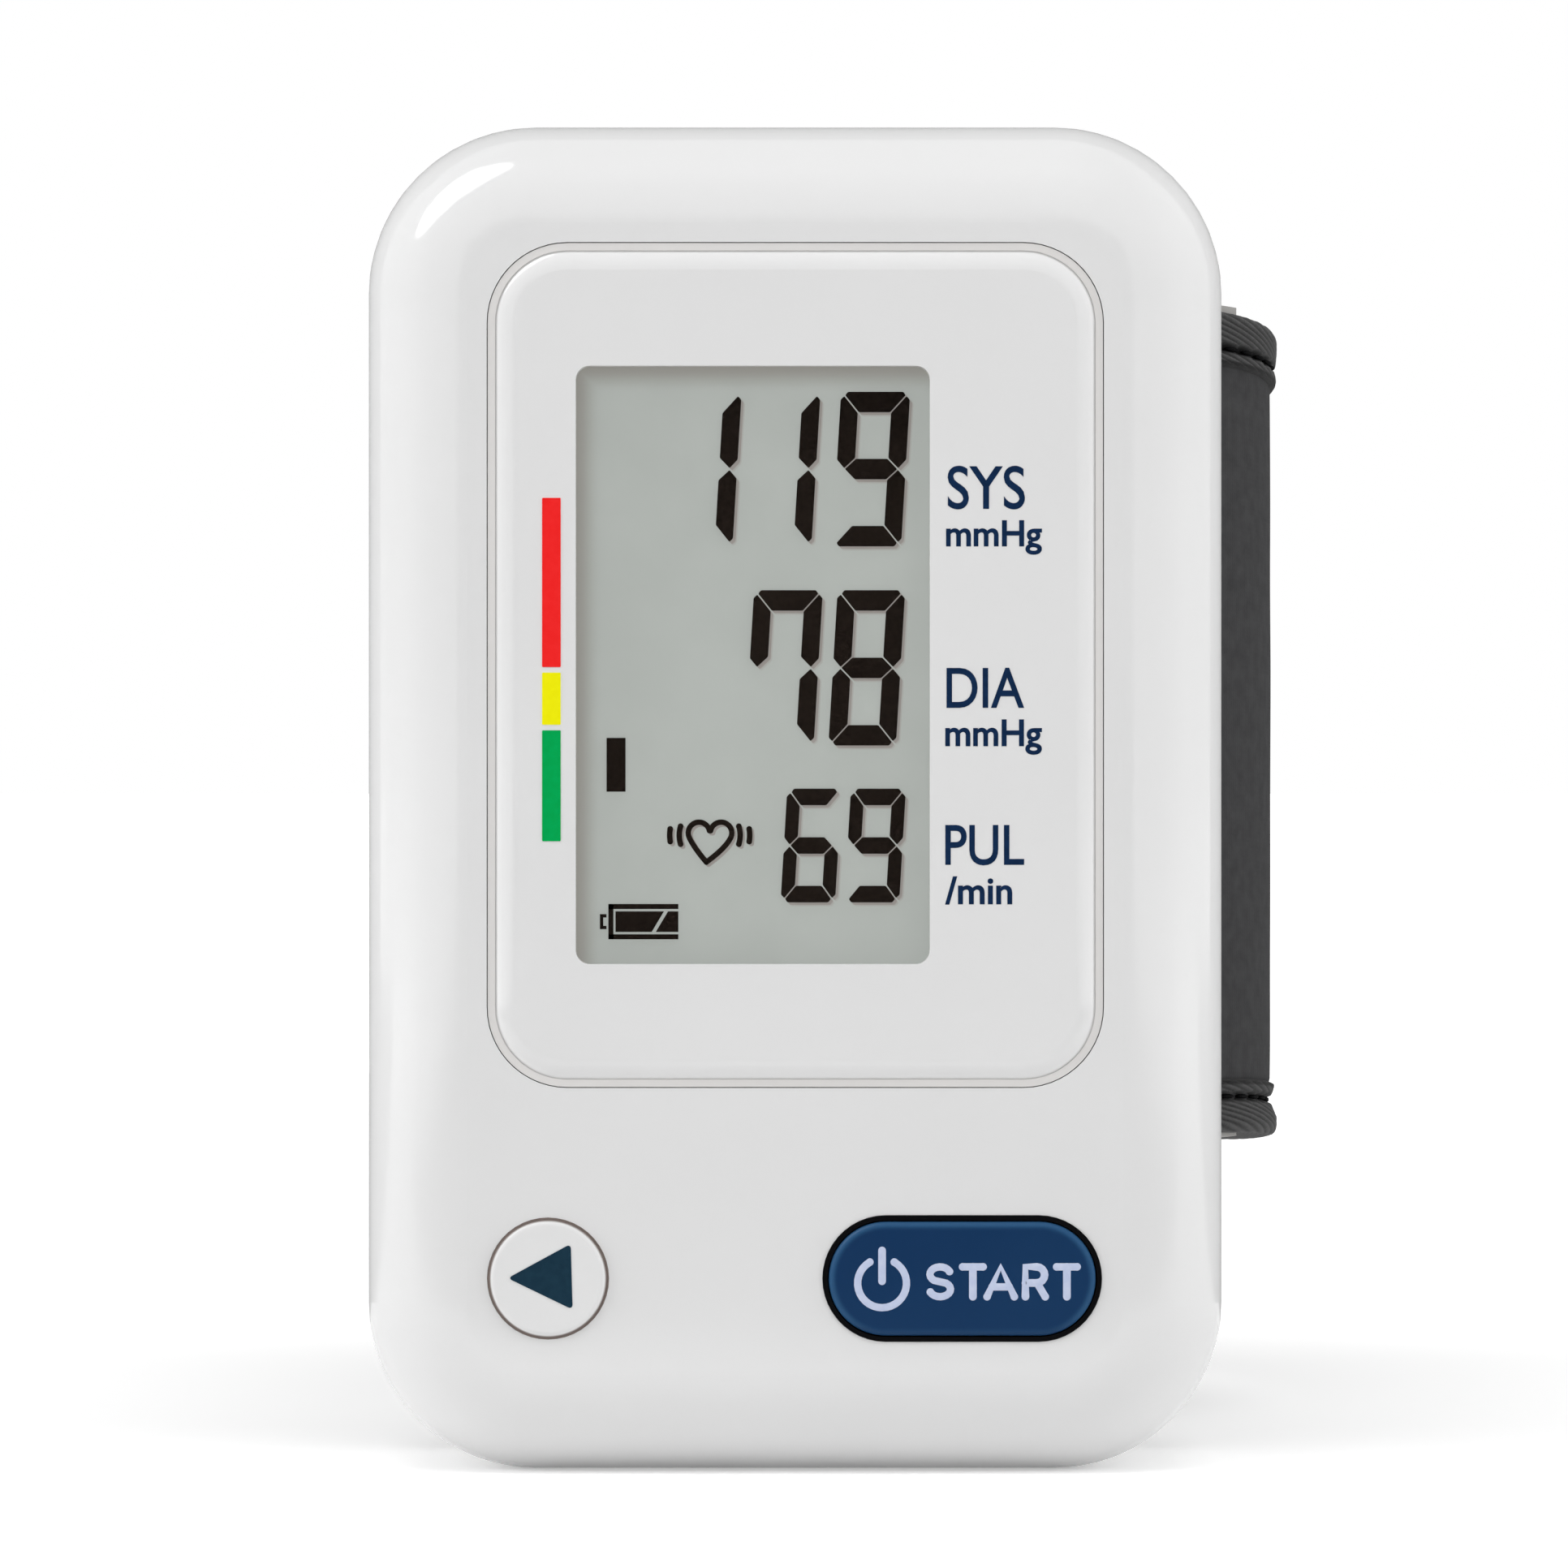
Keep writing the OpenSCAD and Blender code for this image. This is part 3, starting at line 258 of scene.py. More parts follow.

# %% [markdown]
# ## Painted highlight and shade at the keys' edges
# The eye reads a key by its edge. The pill's rim has a painted highlight, lighter towards its top, as
# if it mirrored the bright room. The round key's rim has painted shade, darker where it meets its gap.
# Both follow the distance from the key's own outline.

# %% Painted highlight and shade at the keys' edges
def mid_of(name):
    """A node's middle in X and Z, in millimetres."""
    low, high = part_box(name)
    return (low.x + high.x) / 2 / MM, (low.z + high.z) / 2 / MM


MEMORY_SIZE, START_SIZE = (7.66, 7.66, 3.829), (17.3, 7.4, 3.699)
memory_x, key_z = mid_of("memory_button")
start_x, pill_z = mid_of("start_button")
# Painted shade: the round key's rim darkens towards its gap.
key_rim = from_outline(white_key, memory_x, key_z, *MEMORY_SIZE)
blend_in(white_key, "7A6E69", ramp(white_key, key_rim, 0.04, 0.19, 1.0, 0.0))
# Painted highlight: the pill's rim is lighter, most towards its top.
pill_rim = from_outline(navy_key, start_x, pill_z, *START_SIZE)
pill_up = add(navy_key, "SeparateXYZ", {"Vector": place(navy_key)}).outputs["Z"]
pill_top_highlight = ramp(navy_key, pill_up, pill_z - 3.7, pill_z - 2.0, 0.2, 1.0)
pill_rim_highlight = calc(navy_key, "MULTIPLY", ramp(navy_key, pill_rim, 0.18, 0.6, 1.0, 0.0), pill_top_highlight)
blend_in(navy_key, "2A547C", pill_rim_highlight)

# %% [markdown]
# ## Window and liquid-crystal ground
# The window is clear, so it is almost wholly see-through and only its gloss shows. The ground behind it
# is a matt grey-green film with a very fine grain. A part of its tone is painted light, a glow, so that
# it looks evenly lit even near its frame, and a painted shade, a warmer band, runs along the left and
# the top, where the frame shades it.

# %% Window and liquid-crystal ground
clear_window = finish("clear_window", "000000", 0.06, Alpha=0.03)
varied_gloss(clear_window, place(clear_window), 0.3, 0.04, 0.09)

FILM_GLOW, SHADE_LEFT, SHADE_TOP, SHADE_WIDTH = 2.49, -14.26, 72.0, 1.65
# Painted light: part of the film's tone glows.
film_grey = finish("film_grey", "6E716E", 0.6, Specular_IOR_Level=0.1, Emission_Strength=FILM_GLOW)
film_place = place(film_grey)
two_tones(film_grey, "6D706D", "6F726F", film_place, 0.2)
film_way = add(film_grey, "SeparateXYZ", {"Vector": film_place}).outputs
# Painted shade: a warmer band along the left and the top, where the frame would shade the film.
lit = calc(film_grey, "MINIMUM", ramp(film_grey, film_way["X"], SHADE_LEFT, SHADE_LEFT + SHADE_WIDTH),
           ramp(film_grey, film_way["Z"], SHADE_TOP, SHADE_TOP - SHADE_WIDTH))
blend_in(film_grey, "5E5D59", calc(film_grey, "SUBTRACT", 1.0, lit))
plug(film_grey, "Emission Color", colour_of(film_grey))
bump(film_grey, cloud(film_grey, film_place, 14.0, 2.0), 0.03, 0.02)

reflector_film = moulded("reflector_film", "98A098", "A2AAA2", 0.5)

# %% [markdown]
# ## Each node's finish
# The record names a material slot for every node. One table turns slots into the materials above, so a
# node never keeps a bare colour. The round key shares the housing's slot, so its own entry is by node.

# %% Each node's finish
BY_SLOT = {
    "case_white": white_case, "panel_white": white_panel, "window_clear": clear_window,
    "display_grey": film_grey, "reflector_grey": reflector_film, "frame_white": holder_plastic,
    "zebra_rubber": contact_rubber, "board_green": board_mask, "part_black": chip_plastic,
    "stem_tan": stem_plastic, "screw_steel": screw_metal, "contact_nickel": contact_metal,
    "cell_wrap": cell_sleeve, "motor_steel": can_metal, "rotor_copper": winding_metal,
    "silicone": tube_silicone, "bladder_rubber": bladder_skin, "nipple_plastic": port_plastic,
    "saddle_grey": saddle_plastic, "start_navy": navy_key, "bezel_black": black_rubber,
    "curler_clear": curl_sheet,
}
BY_NODE = {"memory_button": white_key}
SLOT_OF = {part["node"]: part["material_slot"] for part in record["subparts"]}

for name, node in nodes.items():
    material = BY_NODE.get(name) or BY_SLOT.get(SLOT_OF[name])
    if material:
        node.data.materials.clear()
        node.data.materials.append(material)
print("plain nodes left for the sewn cuff:", [n for n in nodes if SLOT_OF[n] not in BY_SLOT])


# %% [markdown]
# ## Turning a bmesh into a piece
# Each new piece is shaped in a bmesh, which is cheap to edit, and becomes an object once, at the origin,
# with its place in its mesh. It is smooth only where its faces meet at a low angle.


# %% From bmesh to piece
UPRIGHT = Matrix.Rotation(math.radians(90), 3, "X")


def make_piece(bm, name, material, body=None, smooth_below=40):
    """Writes a bmesh to a new object that may ride on a body."""
    bm.normal_update()
    for face in bm.faces:
        face.smooth = True
    for edge in bm.edges:
        edge.smooth = len(edge.link_faces) == 2 and edge.calc_face_angle(0) < math.radians(smooth_below)
    mesh = bpy.data.meshes.new(name)
    bm.to_mesh(mesh)
    bm.free()
    mesh.materials.append(material)
    piece = bpy.data.objects.new(name, mesh)
    bpy.context.scene.collection.objects.link(piece)
    if body:
        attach(piece, body)
    print(name, len(mesh.polygons), "faces")
    return piece


# %% [markdown]
# ## Flat print
# Print is a skin of ink, a few hundredths of a millimetre thick. Each mark starts as one flat face in
# X and Z, is cut to shape, and is extruded towards the viewer. A mark's back lies just inside the
# surface that carries it, so no gap shows from the side.

# %% Flat print
INK, SINK = 0.03 * MM, 0.01 * MM


def thicken(bm, depth):
    """Gives flat work a thickness along Y, and turns its faces outwards."""
    made = bmesh.ops.extrude_face_region(bm, geom=bm.faces[:], use_keep_orig=True)["geom"]
    bmesh.ops.translate(bm, vec=(0, depth, 0), verts=[v for v in made if isinstance(v, bmesh.types.BMVert)])
    bmesh.ops.recalc_face_normals(bm, faces=bm.faces[:])


def flat_face(bm, corners):
    """One flat face from its corners in X and Z, counter-clockwise for a viewer in front."""
    bm.faces.new([bm.verts.new((x * MM, 0, z * MM)) for x, z in corners])


def box_corners(x0, x1, z0, z1):
    return [(x0, z0), (x1, z0), (x1, z1), (x0, z1)]


def print_piece(bm, name, ink, body, y, round_by=0.0, segments=3):
    """Rounds the faces' corners, makes them a skin of ink at depth y and writes the piece."""
    if round_by:
        bmesh.ops.bevel(bm, geom=bm.verts[:], offset=round_by * MM, affect="VERTICES",
                        segments=segments, profile=0.5, material=-1)
    bmesh.ops.translate(bm, verts=bm.verts[:], vec=(0, y + SINK, 0))
    thicken(bm, -INK - SINK)
    return make_piece(bm, name, ink, body, smooth_below=20)


def ink_of(name, code, dark, light, roughness=0.5, specular=0.05, scale=2.0):
    """Matt ink of two near tones."""
    material = finish(name, code, roughness, Specular_IOR_Level=specular)
    two_tones(material, dark, light, place(material), scale)
    return material


ink_dark = ink_of("ink_dark", "231C18", "221B17", "261F1A", 0.6, scale=3.0)

# %% [markdown]
# ## The digits
# A liquid-crystal digit is seven bars with mitred ends and a narrow gap at each mitre, leaning a few
# degrees. Three bars are drawn, top, upper right and middle, and mirroring gives the others. The bars
# sit inside a clear front glass, a quarter of a millimetre before the grey ground. The room's light
# throws their narrow shadow on the ground, which is what makes a real display look deep. The ground here
# glows with painted light, so the shadow is a painted shadow: two thin skins in the ground's own darker
# tones, which glow like it.

# %% The digits
panel_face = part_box("display_panel")[0].y
glass_low, glass_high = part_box("lcd_glass")
window_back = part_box("display_window")[1].y
film_face = glass_low.y - 0.27 * MM
LEAN = math.tan(math.radians(3.4))
BAR_GAP, BAR_CUT, MITRE = 0.06, 0.45, 0.42
BARS_OF = {"1": "bc", "6": "acdefg", "7": "abcf", "8": "abcdefg", "9": "abcdfg"}


def bars(width, height, thick_x, thick_z, gap=BAR_GAP, cut=BAR_CUT):
    """Corner lists of the seven bars of one upright digit, by letter."""
    half, near, far = height / 2, thick_x + gap, width - thick_x - gap
    nick_x, nick_z = thick_x * MITRE, thick_z * MITRE
    top = [(cut, height), (width - cut, height), (width - cut / 2 - gap, height - cut / 2),
           (far, height - thick_z), (near, height - thick_z), (cut / 2 + gap, height - cut / 2)]
    right = [(width - cut / 2, height - cut / 2 - gap), (width, height - cut - gap),
             (width, half + nick_z + gap), (width - nick_x, half + gap),
             (width - thick_x, half + thick_z / 2 + gap), (width - thick_x, height - thick_z - gap)]
    middle = [(nick_x + gap, half), (near, half + thick_z / 2), (far, half + thick_z / 2),
              (width - nick_x - gap, half), (far, half - thick_z / 2), (near, half - thick_z / 2)]

    def turned(bar):
        return [(width - x, z) for x, z in bar]

    def dropped(bar):
        return [(x, height - z) for x, z in bar]

    return {"a": top, "b": right, "c": dropped(right), "d": dropped(top), "e": dropped(turned(right)),
            "f": turned(right), "g": middle}


DIGIT_ROWS = (
    ((("1", -3.48, 4.25), ("1", 1.65, 4.25), ("9", 7.48, 4.5)), 60.35, 10.05, 1.17, 1.33),
    ((("7", 1.8, 4.48), ("8", 7.15, 4.4)), 47.4, 10.1, 1.17, 1.33),
    ((("6", 3.03, 3.55), ("9", 7.2, 3.58)), 37.2, 7.4, 0.88, 1.08))


def digit_piece(name, ink, y, shift=0.0):
    """All the digits as one flat print at depth y, shifted right and down by some millimetres.

    A digit is given with the x of its right-hand side at the top."""
    bm = bmesh.new()
    for digits, base, height, thick_x, thick_z in DIGIT_ROWS:
        for sign, right_x, width in digits:
            shapes = bars(width, height, thick_x, thick_z)
            start = right_x - width - height * LEAN + shift
            for letter in BARS_OF[sign]:
                flat_face(bm, [(start + x + z * LEAN, base - shift + z) for x, z in shapes[letter]])
    return print_piece(bm, name, ink, "main", y, round_by=0.07)


digit_piece("display_digits", ink_dark, film_face)
# Painted shadow of the digits: two offset skins in the ground's darker tones, glowing like the ground.
for name, dark, light, out, shift in (("digit_shade_wide", "666663", "686865", 0.015, 0.25),
                                      ("digit_shade_near", "5B5855", "5D5A57", 0.03, 0.16)):
    shade = finish(name, light, 0.6, Specular_IOR_Level=0.1, Emission_Strength=FILM_GLOW)
    two_tones(shade, dark, light, place(shade), 0.2)
    plug(shade, "Emission Color", colour_of(shade))
    digit_piece(name, shade, glass_low.y - out * MM, shift)
near_shade = shade

bm = bmesh.new()
front_low = Vector((glass_low.x, window_back + 0.05 * MM, glass_low.z))
front_high = Vector((glass_high.x, glass_low.y - 0.01 * MM, glass_high.z))
bmesh.ops.create_cube(bm, size=1.0, matrix=Matrix.Translation((front_low + front_high) / 2)
                      @ Matrix.Diagonal((*(front_high - front_low), 1)))
make_piece(bm, "display_front_glass", clear_window, "main")

# %% [markdown]
# ## The display's signs
# A level marker, a beating heart and a cell sign fill the left of the display. The heart and its beats
# are strokes of even width: a curve given a round section, made a mesh and then pressed flat.


# %% Strokes
def arc(cx, cz, radius, start, end, steps=14, squeeze=1.0):
    """Points of an arc in degrees, counter-clockwise for a viewer in front."""
    turns = [math.radians(start + (end - start) * i / steps) for i in range(steps + 1)]
    return [(cx + radius * squeeze * math.cos(a), cz + radius * math.sin(a)) for a in turns]


def strokes(name, paths, width, y, material, body):
    """Paths in X and Z as flat strokes with round ends that stand a little proud of depth y."""
    curve = bpy.data.curves.new(name, "CURVE")
    curve.dimensions = "3D"
    curve.bevel_depth = width / 2 * MM
    curve.bevel_resolution = 3
    curve.use_fill_caps = True
    for path in paths:
        closed = len(path) > 2 and math.dist(path[0], path[-1]) < 1e-6
        points = path[:-1] if closed else path
        spline = curve.splines.new("POLY")
        spline.points.add(len(points) - 1)
        spline.use_cyclic_u = closed
        for point, (x, z) in zip(spline.points, points):
            point.co = (x * MM, 0, z * MM, 1)
    holder = bpy.data.objects.new(name, curve)
    bm = bmesh.new()
    bm.from_mesh(holder.to_mesh())
    bpy.data.objects.remove(holder)
    for path in paths:
        for x, z in (path[0], path[-1]):
            bmesh.ops.create_uvsphere(bm, u_segments=12, v_segments=8, radius=width / 2 * MM,
                                      matrix=Matrix.Translation((x * MM, 0, z * MM)))
    bmesh.ops.scale(bm, vec=(1, INK / (width / 2 * MM), 1), verts=bm.verts[:])
    bmesh.ops.translate(bm, vec=(0, y, 0), verts=bm.verts[:])
    return make_piece(bm, name, material, body)


# %% The display's signs
heart_x, lobe_z, lobe, tip_x, tip_z = -5.54, 41.72, 0.7, -5.78, 39.82
BOW = (0.17, 0.33, 0.5, 0.67, 0.83, 1.0)
HEART_SHIFT = 0.14
left_lobe = arc(heart_x - lobe - 0.02, lobe_z, lobe, 12, 205)
right_lobe = arc(heart_x + lobe + 0.02, lobe_z, lobe, 168, -25)
heart = []
for side, half in ((1, left_lobe), (-1, right_lobe)):
    x, z = half[-1]
    bow_x, bow_z = x + side * 0.32, z - 0.68
    heart.append(half + [((1 - u) ** 2 * x + 2 * u * (1 - u) * bow_x + u * u * tip_x,
                          (1 - u) ** 2 * z + 2 * u * (1 - u) * bow_z + u * u * tip_z) for u in BOW])
beats = [arc(heart_x - 0.02, 41.57, reach, mid - spread, mid + spread, 6)
         for mid in (0, 180) for reach, spread in ((1.98, 17), (2.6, 9))]
strokes("display_heart", heart, 0.38, film_face, ink_dark, "main")
# Painted shadow of the heart and the beats, offset down and to the right.
heart_shade = [[(x + HEART_SHIFT, z - HEART_SHIFT) for x, z in path] for path in heart + beats]
strokes("heart_shade", heart_shade, 0.36, glass_low.y - 0.03 * MM, near_shade, "main")
strokes("display_beats", beats, 0.39, film_face, ink_dark, "main")

bm = bmesh.new()
flat_face(bm, box_corners(-12.27, -11.03, 44.4, 47.9))
cell_left, cell_right, cell_low, cell_high = -12.15, -7.6, 34.8, 37.1
line = 0.33
flat_face(bm, box_corners(cell_left, cell_left + line, cell_low, cell_high))
for z in (cell_low, cell_high - line):
    flat_face(bm, box_corners(cell_left, cell_right, z, z + line))
fill_low, fill_high, slash = cell_low + 0.48, cell_high - 0.48, 0.13
lean_low, lean_high = -9.2, -8.4
flat_face(bm, [(cell_left + 0.46, fill_low), (lean_low - slash, fill_low),
               (lean_high - slash, fill_high), (cell_left + 0.46, fill_high)])
flat_face(bm, [(lean_low + slash, fill_low), (cell_right, fill_low), (cell_right, fill_high),
               (lean_high + slash, fill_high)])
nub = cell_left - 0.55
flat_face(bm, box_corners(nub, nub + 0.22, 35.46, 36.44))
for z in (35.46, 36.22):
    flat_face(bm, box_corners(nub + 0.22, cell_left - 0.12, z, z + 0.22))
print_piece(bm, "display_cell_sign", ink_dark, "main", film_face)

# %% [markdown]
# ## Print on the panel
# Three colour bars stand left of the display and the names of the readings right of it. The words are
# the plain ones that any such device carries. Text is a curve at first, so it is made a mesh, stood up
# and scaled to its measured width and height before it is put in its place.

# %% Colour bars
ink_red = ink_of("ink_red", "FF2929", "FD2626", "FF2B2B")
ink_yellow = ink_of("ink_yellow", "FCF80A", "FBF606", "FEFA0E")
ink_green = ink_of("ink_green", "00AC54", "00AA52", "00AF57")
ink_navy = ink_of("ink_navy", "122A4C", "102848", "142E52")

BAR_LEFT, BAR_RIGHT = -16.37, -15.17
for name, ink, low, high in (("bar_red", ink_red, 52.46, 63.4), ("bar_yellow", ink_yellow, 48.73, 52.1),
                             ("bar_green", ink_green, 41.2, 48.37)):
    bm = bmesh.new()
    flat_face(bm, box_corners(BAR_LEFT, BAR_RIGHT, low, high))
    print_piece(bm, name, ink, "main", panel_face, round_by=0.06)


# %% Words
def word(name, text, left, right, low, high, weight):
    """A word whose capitals, or tallest letters, run from low to high between left and right."""
    curve = bpy.data.curves.new(name, "FONT")
    curve.body = text
    curve.size = 1.0
    curve.offset = weight
    curve.extrude = 0.5
    curve.resolution_u = 6
    holder = bpy.data.objects.new(name, curve)
    bm = bmesh.new()
    bm.from_mesh(holder.to_mesh())
    bpy.data.objects.remove(holder)
    xs = [v.co.x for v in bm.verts]
    top = max(v.co.y for v in bm.verts)
    across = (right - left) * MM / (max(xs) - min(xs))
    up = (high - low) * MM / top
    bmesh.ops.translate(bm, vec=(-min(xs), 0, 0), verts=bm.verts[:])
    bmesh.ops.scale(bm, vec=(across, up, INK), verts=bm.verts[:])
    bmesh.ops.rotate(bm, cent=(0, 0, 0), matrix=UPRIGHT, verts=bm.verts[:])
    bmesh.ops.translate(bm, vec=(left * MM, panel_face, low * MM), verts=bm.verts[:])
    return make_piece(bm, name, ink_navy, "main", smooth_below=20)


LABELS = (("label_sys", "SYS", 9.85, 14.85, 62.72, 65.48, 0.008),
          ("label_sys_unit", "mmHg", 9.75, 15.95, 60.31, 61.96, 0.02),
          ("label_dia", "DIA", 9.78, 14.8, 49.85, 52.42, 0.008),
          ("label_dia_unit", "mmHg", 9.7, 15.95, 47.39, 49.08, 0.02),
          ("label_pul", "PUL", 9.7, 14.8, 39.7, 42.25, 0.008),
          ("label_pul_unit", "/min", 9.68, 14.03, 37.17, 38.93, 0.02))
for label in LABELS:
    word(*label)

# %% [markdown]
# ## Marks on the buttons
# The round button has a rounded triangle and the pill a power sign with its word, in strokes with round
# ends. They ride on the buttons, so they sink with them when pressed.

# %% Marks on the buttons
key_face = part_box("memory_button")[0].y
ink_teal = ink_of("ink_teal", "1A3546", "193445", "1D394A")
bm = bmesh.new()
flat_face(bm, [(memory_x - 2.6, key_z + 0.05), (memory_x + 1.6, key_z - 1.98),
               (memory_x + 1.48, key_z + 2.27)])
print_piece(bm, "memory_mark", ink_teal, "memory_key", key_face, round_by=0.32, segments=5)

ink_pale = ink_of("ink_pale", "C9D3EE", "C5D0EC", "CFD8F0", specular=0.1)
power_x, power_z, power_r = start_x - 5.19, key_z - 0.28, 1.58
power_sign = [arc(power_x, power_z, power_r, 120, 420, 28),
              [(power_x, power_z + 0.13), (power_x, power_z + 2.12)]]
strokes("start_power_sign", power_sign, 0.5, key_face, ink_pale, "start_key")

LETTER_LOW, LETTER_HIGH = key_z - 1.15, key_z + 0.78
bar_z = (LETTER_LOW + LETTER_HIGH) / 2 - 0.33
bowl = (LETTER_HIGH - LETTER_LOW) / 4
s_x, t_x, a_x, r_x, last_x = start_x - 1.44, start_x + 0.68, start_x + 2.48, start_x + 4.08, start_x + 6.76
letter_s = (arc(s_x, LETTER_HIGH - bowl, bowl, 22, 235, 12, 1.36)
            + arc(s_x, LETTER_LOW + bowl, bowl, 55, -158, 12, 1.4))


def letter_t(x):
    return [[(x - 0.66, LETTER_HIGH), (x + 0.66, LETTER_HIGH)], [(x, LETTER_HIGH), (x, LETTER_LOW)]]


letter_a = [[(a_x - 0.88, LETTER_LOW), (a_x, LETTER_HIGH), (a_x + 0.88, LETTER_LOW)],
            [(a_x - 0.55, bar_z), (a_x + 0.55, bar_z)]]
letter_r = [[(r_x, LETTER_LOW), (r_x, LETTER_HIGH)]
            + arc(r_x + 0.72, LETTER_HIGH - 0.52, 0.52, 90, -90, 8) + [(r_x, LETTER_HIGH - 1.04)],
            [(r_x + 0.75, LETTER_HIGH - 1.04), (r_x + 1.28, LETTER_LOW)]]
strokes("start_word", [letter_s] + letter_t(t_x) + letter_a + letter_r + letter_t(last_x), 0.5, key_face,
        ink_pale, "start_key")

# %% [markdown]
# ## Lines round the panel and the round key
# A narrow gap looks black when it is empty. Here a soft ring fills each gap below the surface, as the
# keypad's sheet and the panel's foam seal do, so that the gap is a soft grey line. The rings are partly
# those real parts and partly painted shade: their tones stand for the gap lines' shade, darker round the
# key and paler round the panel. The panel's seal also covers the low foot of the panel's rim, painting
# over its shade with its pale tone, and leaves only a hair-wide slit beside the housing.


# %% Lines round the panel and the round key
def ring(name, corners_out, corners_in, front, back, material):
    """A ring between two outlines of as many corners in X and Z, from a front to a back depth."""
    bm = bmesh.new()
    count = len(corners_out)
    rows = [[bm.verts.new((x * MM, y, z * MM)) for x, z in corners]
            for corners, y in ((corners_out, back), (corners_out, front),
                               (corners_in, front), (corners_in, back))]
    for row, after in zip(rows, rows[1:] + rows[:1]):
        for i in range(count):
            bm.faces.new((row[i], row[(i + 1) % count], after[(i + 1) % count], after[i]))
    bmesh.ops.recalc_face_normals(bm, faces=bm.faces[:])
    return make_piece(bm, name, material, "main")


def round_box(low, high, out, radius):
    """Corners of the rounded rectangle of a node's box, let out by some millimetres."""
    x0, x1, z0, z1 = low.x / MM - out, high.x / MM + out, low.z / MM - out, high.z / MM + out
    r = radius + out
    return (arc(x1 - r, z1 - r, r, 0, 90) + arc(x0 + r, z1 - r, r, 90, 180)
            + arc(x0 + r, z0 + r, r, 180, 270) + arc(x1 - r, z0 + r, r, 270, 360))


PANEL_R, KEY_R = 5.1, 3.83
case_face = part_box("front_case")[0].y
panel_low, panel_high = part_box("display_panel")
panel_outer, panel_inner = (round_box(panel_low, panel_high, out, PANEL_R) for out in (0.06, -0.42))
# Pale ring in the panel's gap: partly a foam seal, partly painted gap shade; it paints over the rim foot's
# shade.
ring("panel_seal_gap_shade", panel_outer, panel_inner, case_face + 0.05 * MM, case_face + 0.7 * MM, seal_foam_gap_shade)
# Dark ring round the round key: partly the keypad's sheet, partly painted gap shade.
key_outer, key_inner = (arc(memory_x, key_z, KEY_R + out, 0, 354, 59) for out in (0.11, 0.01))
ring("key_seal_gap_shade", key_outer, key_inner, case_face + 0.03 * MM, case_face + 0.4 * MM, key_sheet_gap_shade)

# %% [markdown]
# ## The cuff, cut flat and rolled
# A maker cuts the cuff's layers flat, binds their edges with tape, and curls the whole thing. The script
# does the same. Flat work lies with x along the way round, measured at the middle of the layers, y from
# the outside face inwards, and z up. One function then rolls it about the cuff's axis. The strap's own
# stretch climbs outwards so that it lies over the fixed end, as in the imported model, and the back of
# the cuff droops a little under its own weight.

# %% Sizes of the cuff
clamp = next(m for m in record["mounts"] if m["name"] == "wrist_clamp")
axis_x, axis_y, axis_z = clamp["pos_m"]
bore_r = clamp["dims"]["r_mm"] * MM
layers = 4.0 * MM
cuff_r = bore_r + layers
mid_r = bore_r + layers / 2
cuff_low, cuff_high = (corner.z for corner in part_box("strap_tape"))
FIXED_END, LEFT_STOP = 80.0, 248.5
RIGHT_STOP, STRAP_END = -68.5, 145.4
CLIMB_START, CLIMB_END = 4.0, 78.0
lap_in = cuff_r + 1.3 * MM
lap_out = lap_in + 1.7 * MM
DROOP_HIGH, DROOP_LOW = 2.0 * MM, 2.2 * MM
DROOP_START, DROOP_END = 22 * MM, 62 * MM


def along(angle):
    """Flat distance of an angle in degrees, along the middle of the layers."""
    return math.radians(angle) * mid_r


def eased(value, start, end):
    """Share from 0 at a start to 1 at an end, slow at both."""
    share = min(1.0, max(0.0, (value - start) / (end - start)))
    return share * share * (3 - 2 * share)


def droop(y, z):
    """How far a place on the cuff hangs down, most at the back."""
    rise = (z - cuff_low) / (cuff_high - cuff_low)
    return eased(y, DROOP_START, DROOP_END) * (DROOP_LOW + (DROOP_HIGH - DROOP_LOW) * rise)


def roll(bm, strap):
    """Rolls flat work round the cuff's axis."""
    for v in bm.verts:
        angle = v.co.x / mid_r
        share = eased(math.degrees(angle), CLIMB_START, CLIMB_END) if strap else 0.0
        outside = cuff_r + (lap_out - cuff_r) * share
        inside = bore_r + (lap_in - bore_r) * share
        depth = v.co.y
        if depth < 0:
            r = outside - depth
        elif depth < layers:
            r = outside - depth * (outside - inside) / layers
        else:
            r = inside - (depth - layers)
        y = axis_y + r * math.sin(angle)
        v.co = (axis_x + r * math.cos(angle), y, v.co.z - droop(y, v.co.z))


def map_flat(bm, place_of):
    """Lays the flat work out as a map; a function gives each vertex its place in millimetres."""
    layer = bm.loops.layers.uv.new("cut")
    for face in bm.faces:
        for loop in face.loops:
            loop[layer].uv = place_of(loop.vert)


# %% [markdown]
# ## Fabrics
# The outer cloth is a smooth dark knit, so its relief is two crossed waves a third of a millimetre
# apart. The lining and the pile are coarser, and have a little sheen at low angles.


# %% Fabrics
def knit(name, dark, light, pitch, relief, sheen):
    """Knitted cloth with crossed waves of loops and a soft mottle."""
    material = finish(name, light, 0.85, Sheen_Weight=sheen, Sheen_Roughness=0.5, Specular_IOR_Level=0.1)
    where = flat_place(material)
    two_tones(material, dark, light, where, 0.8, detail=6.0, low=0.3, high=0.7)
    waves = [add(material, "TexWave", {"Vector": where, "Scale": 0.314 / pitch, "Distortion": 0.6,
                                       "Detail": 1.0}, bands_direction=way).outputs["Fac"] for way in "XY"]
    loops_up = calc(material, "MULTIPLY", *waves)
    bump(material, calc(material, "ADD", loops_up, cloud(material, where, 4.0)), relief, 0.08)
    return material


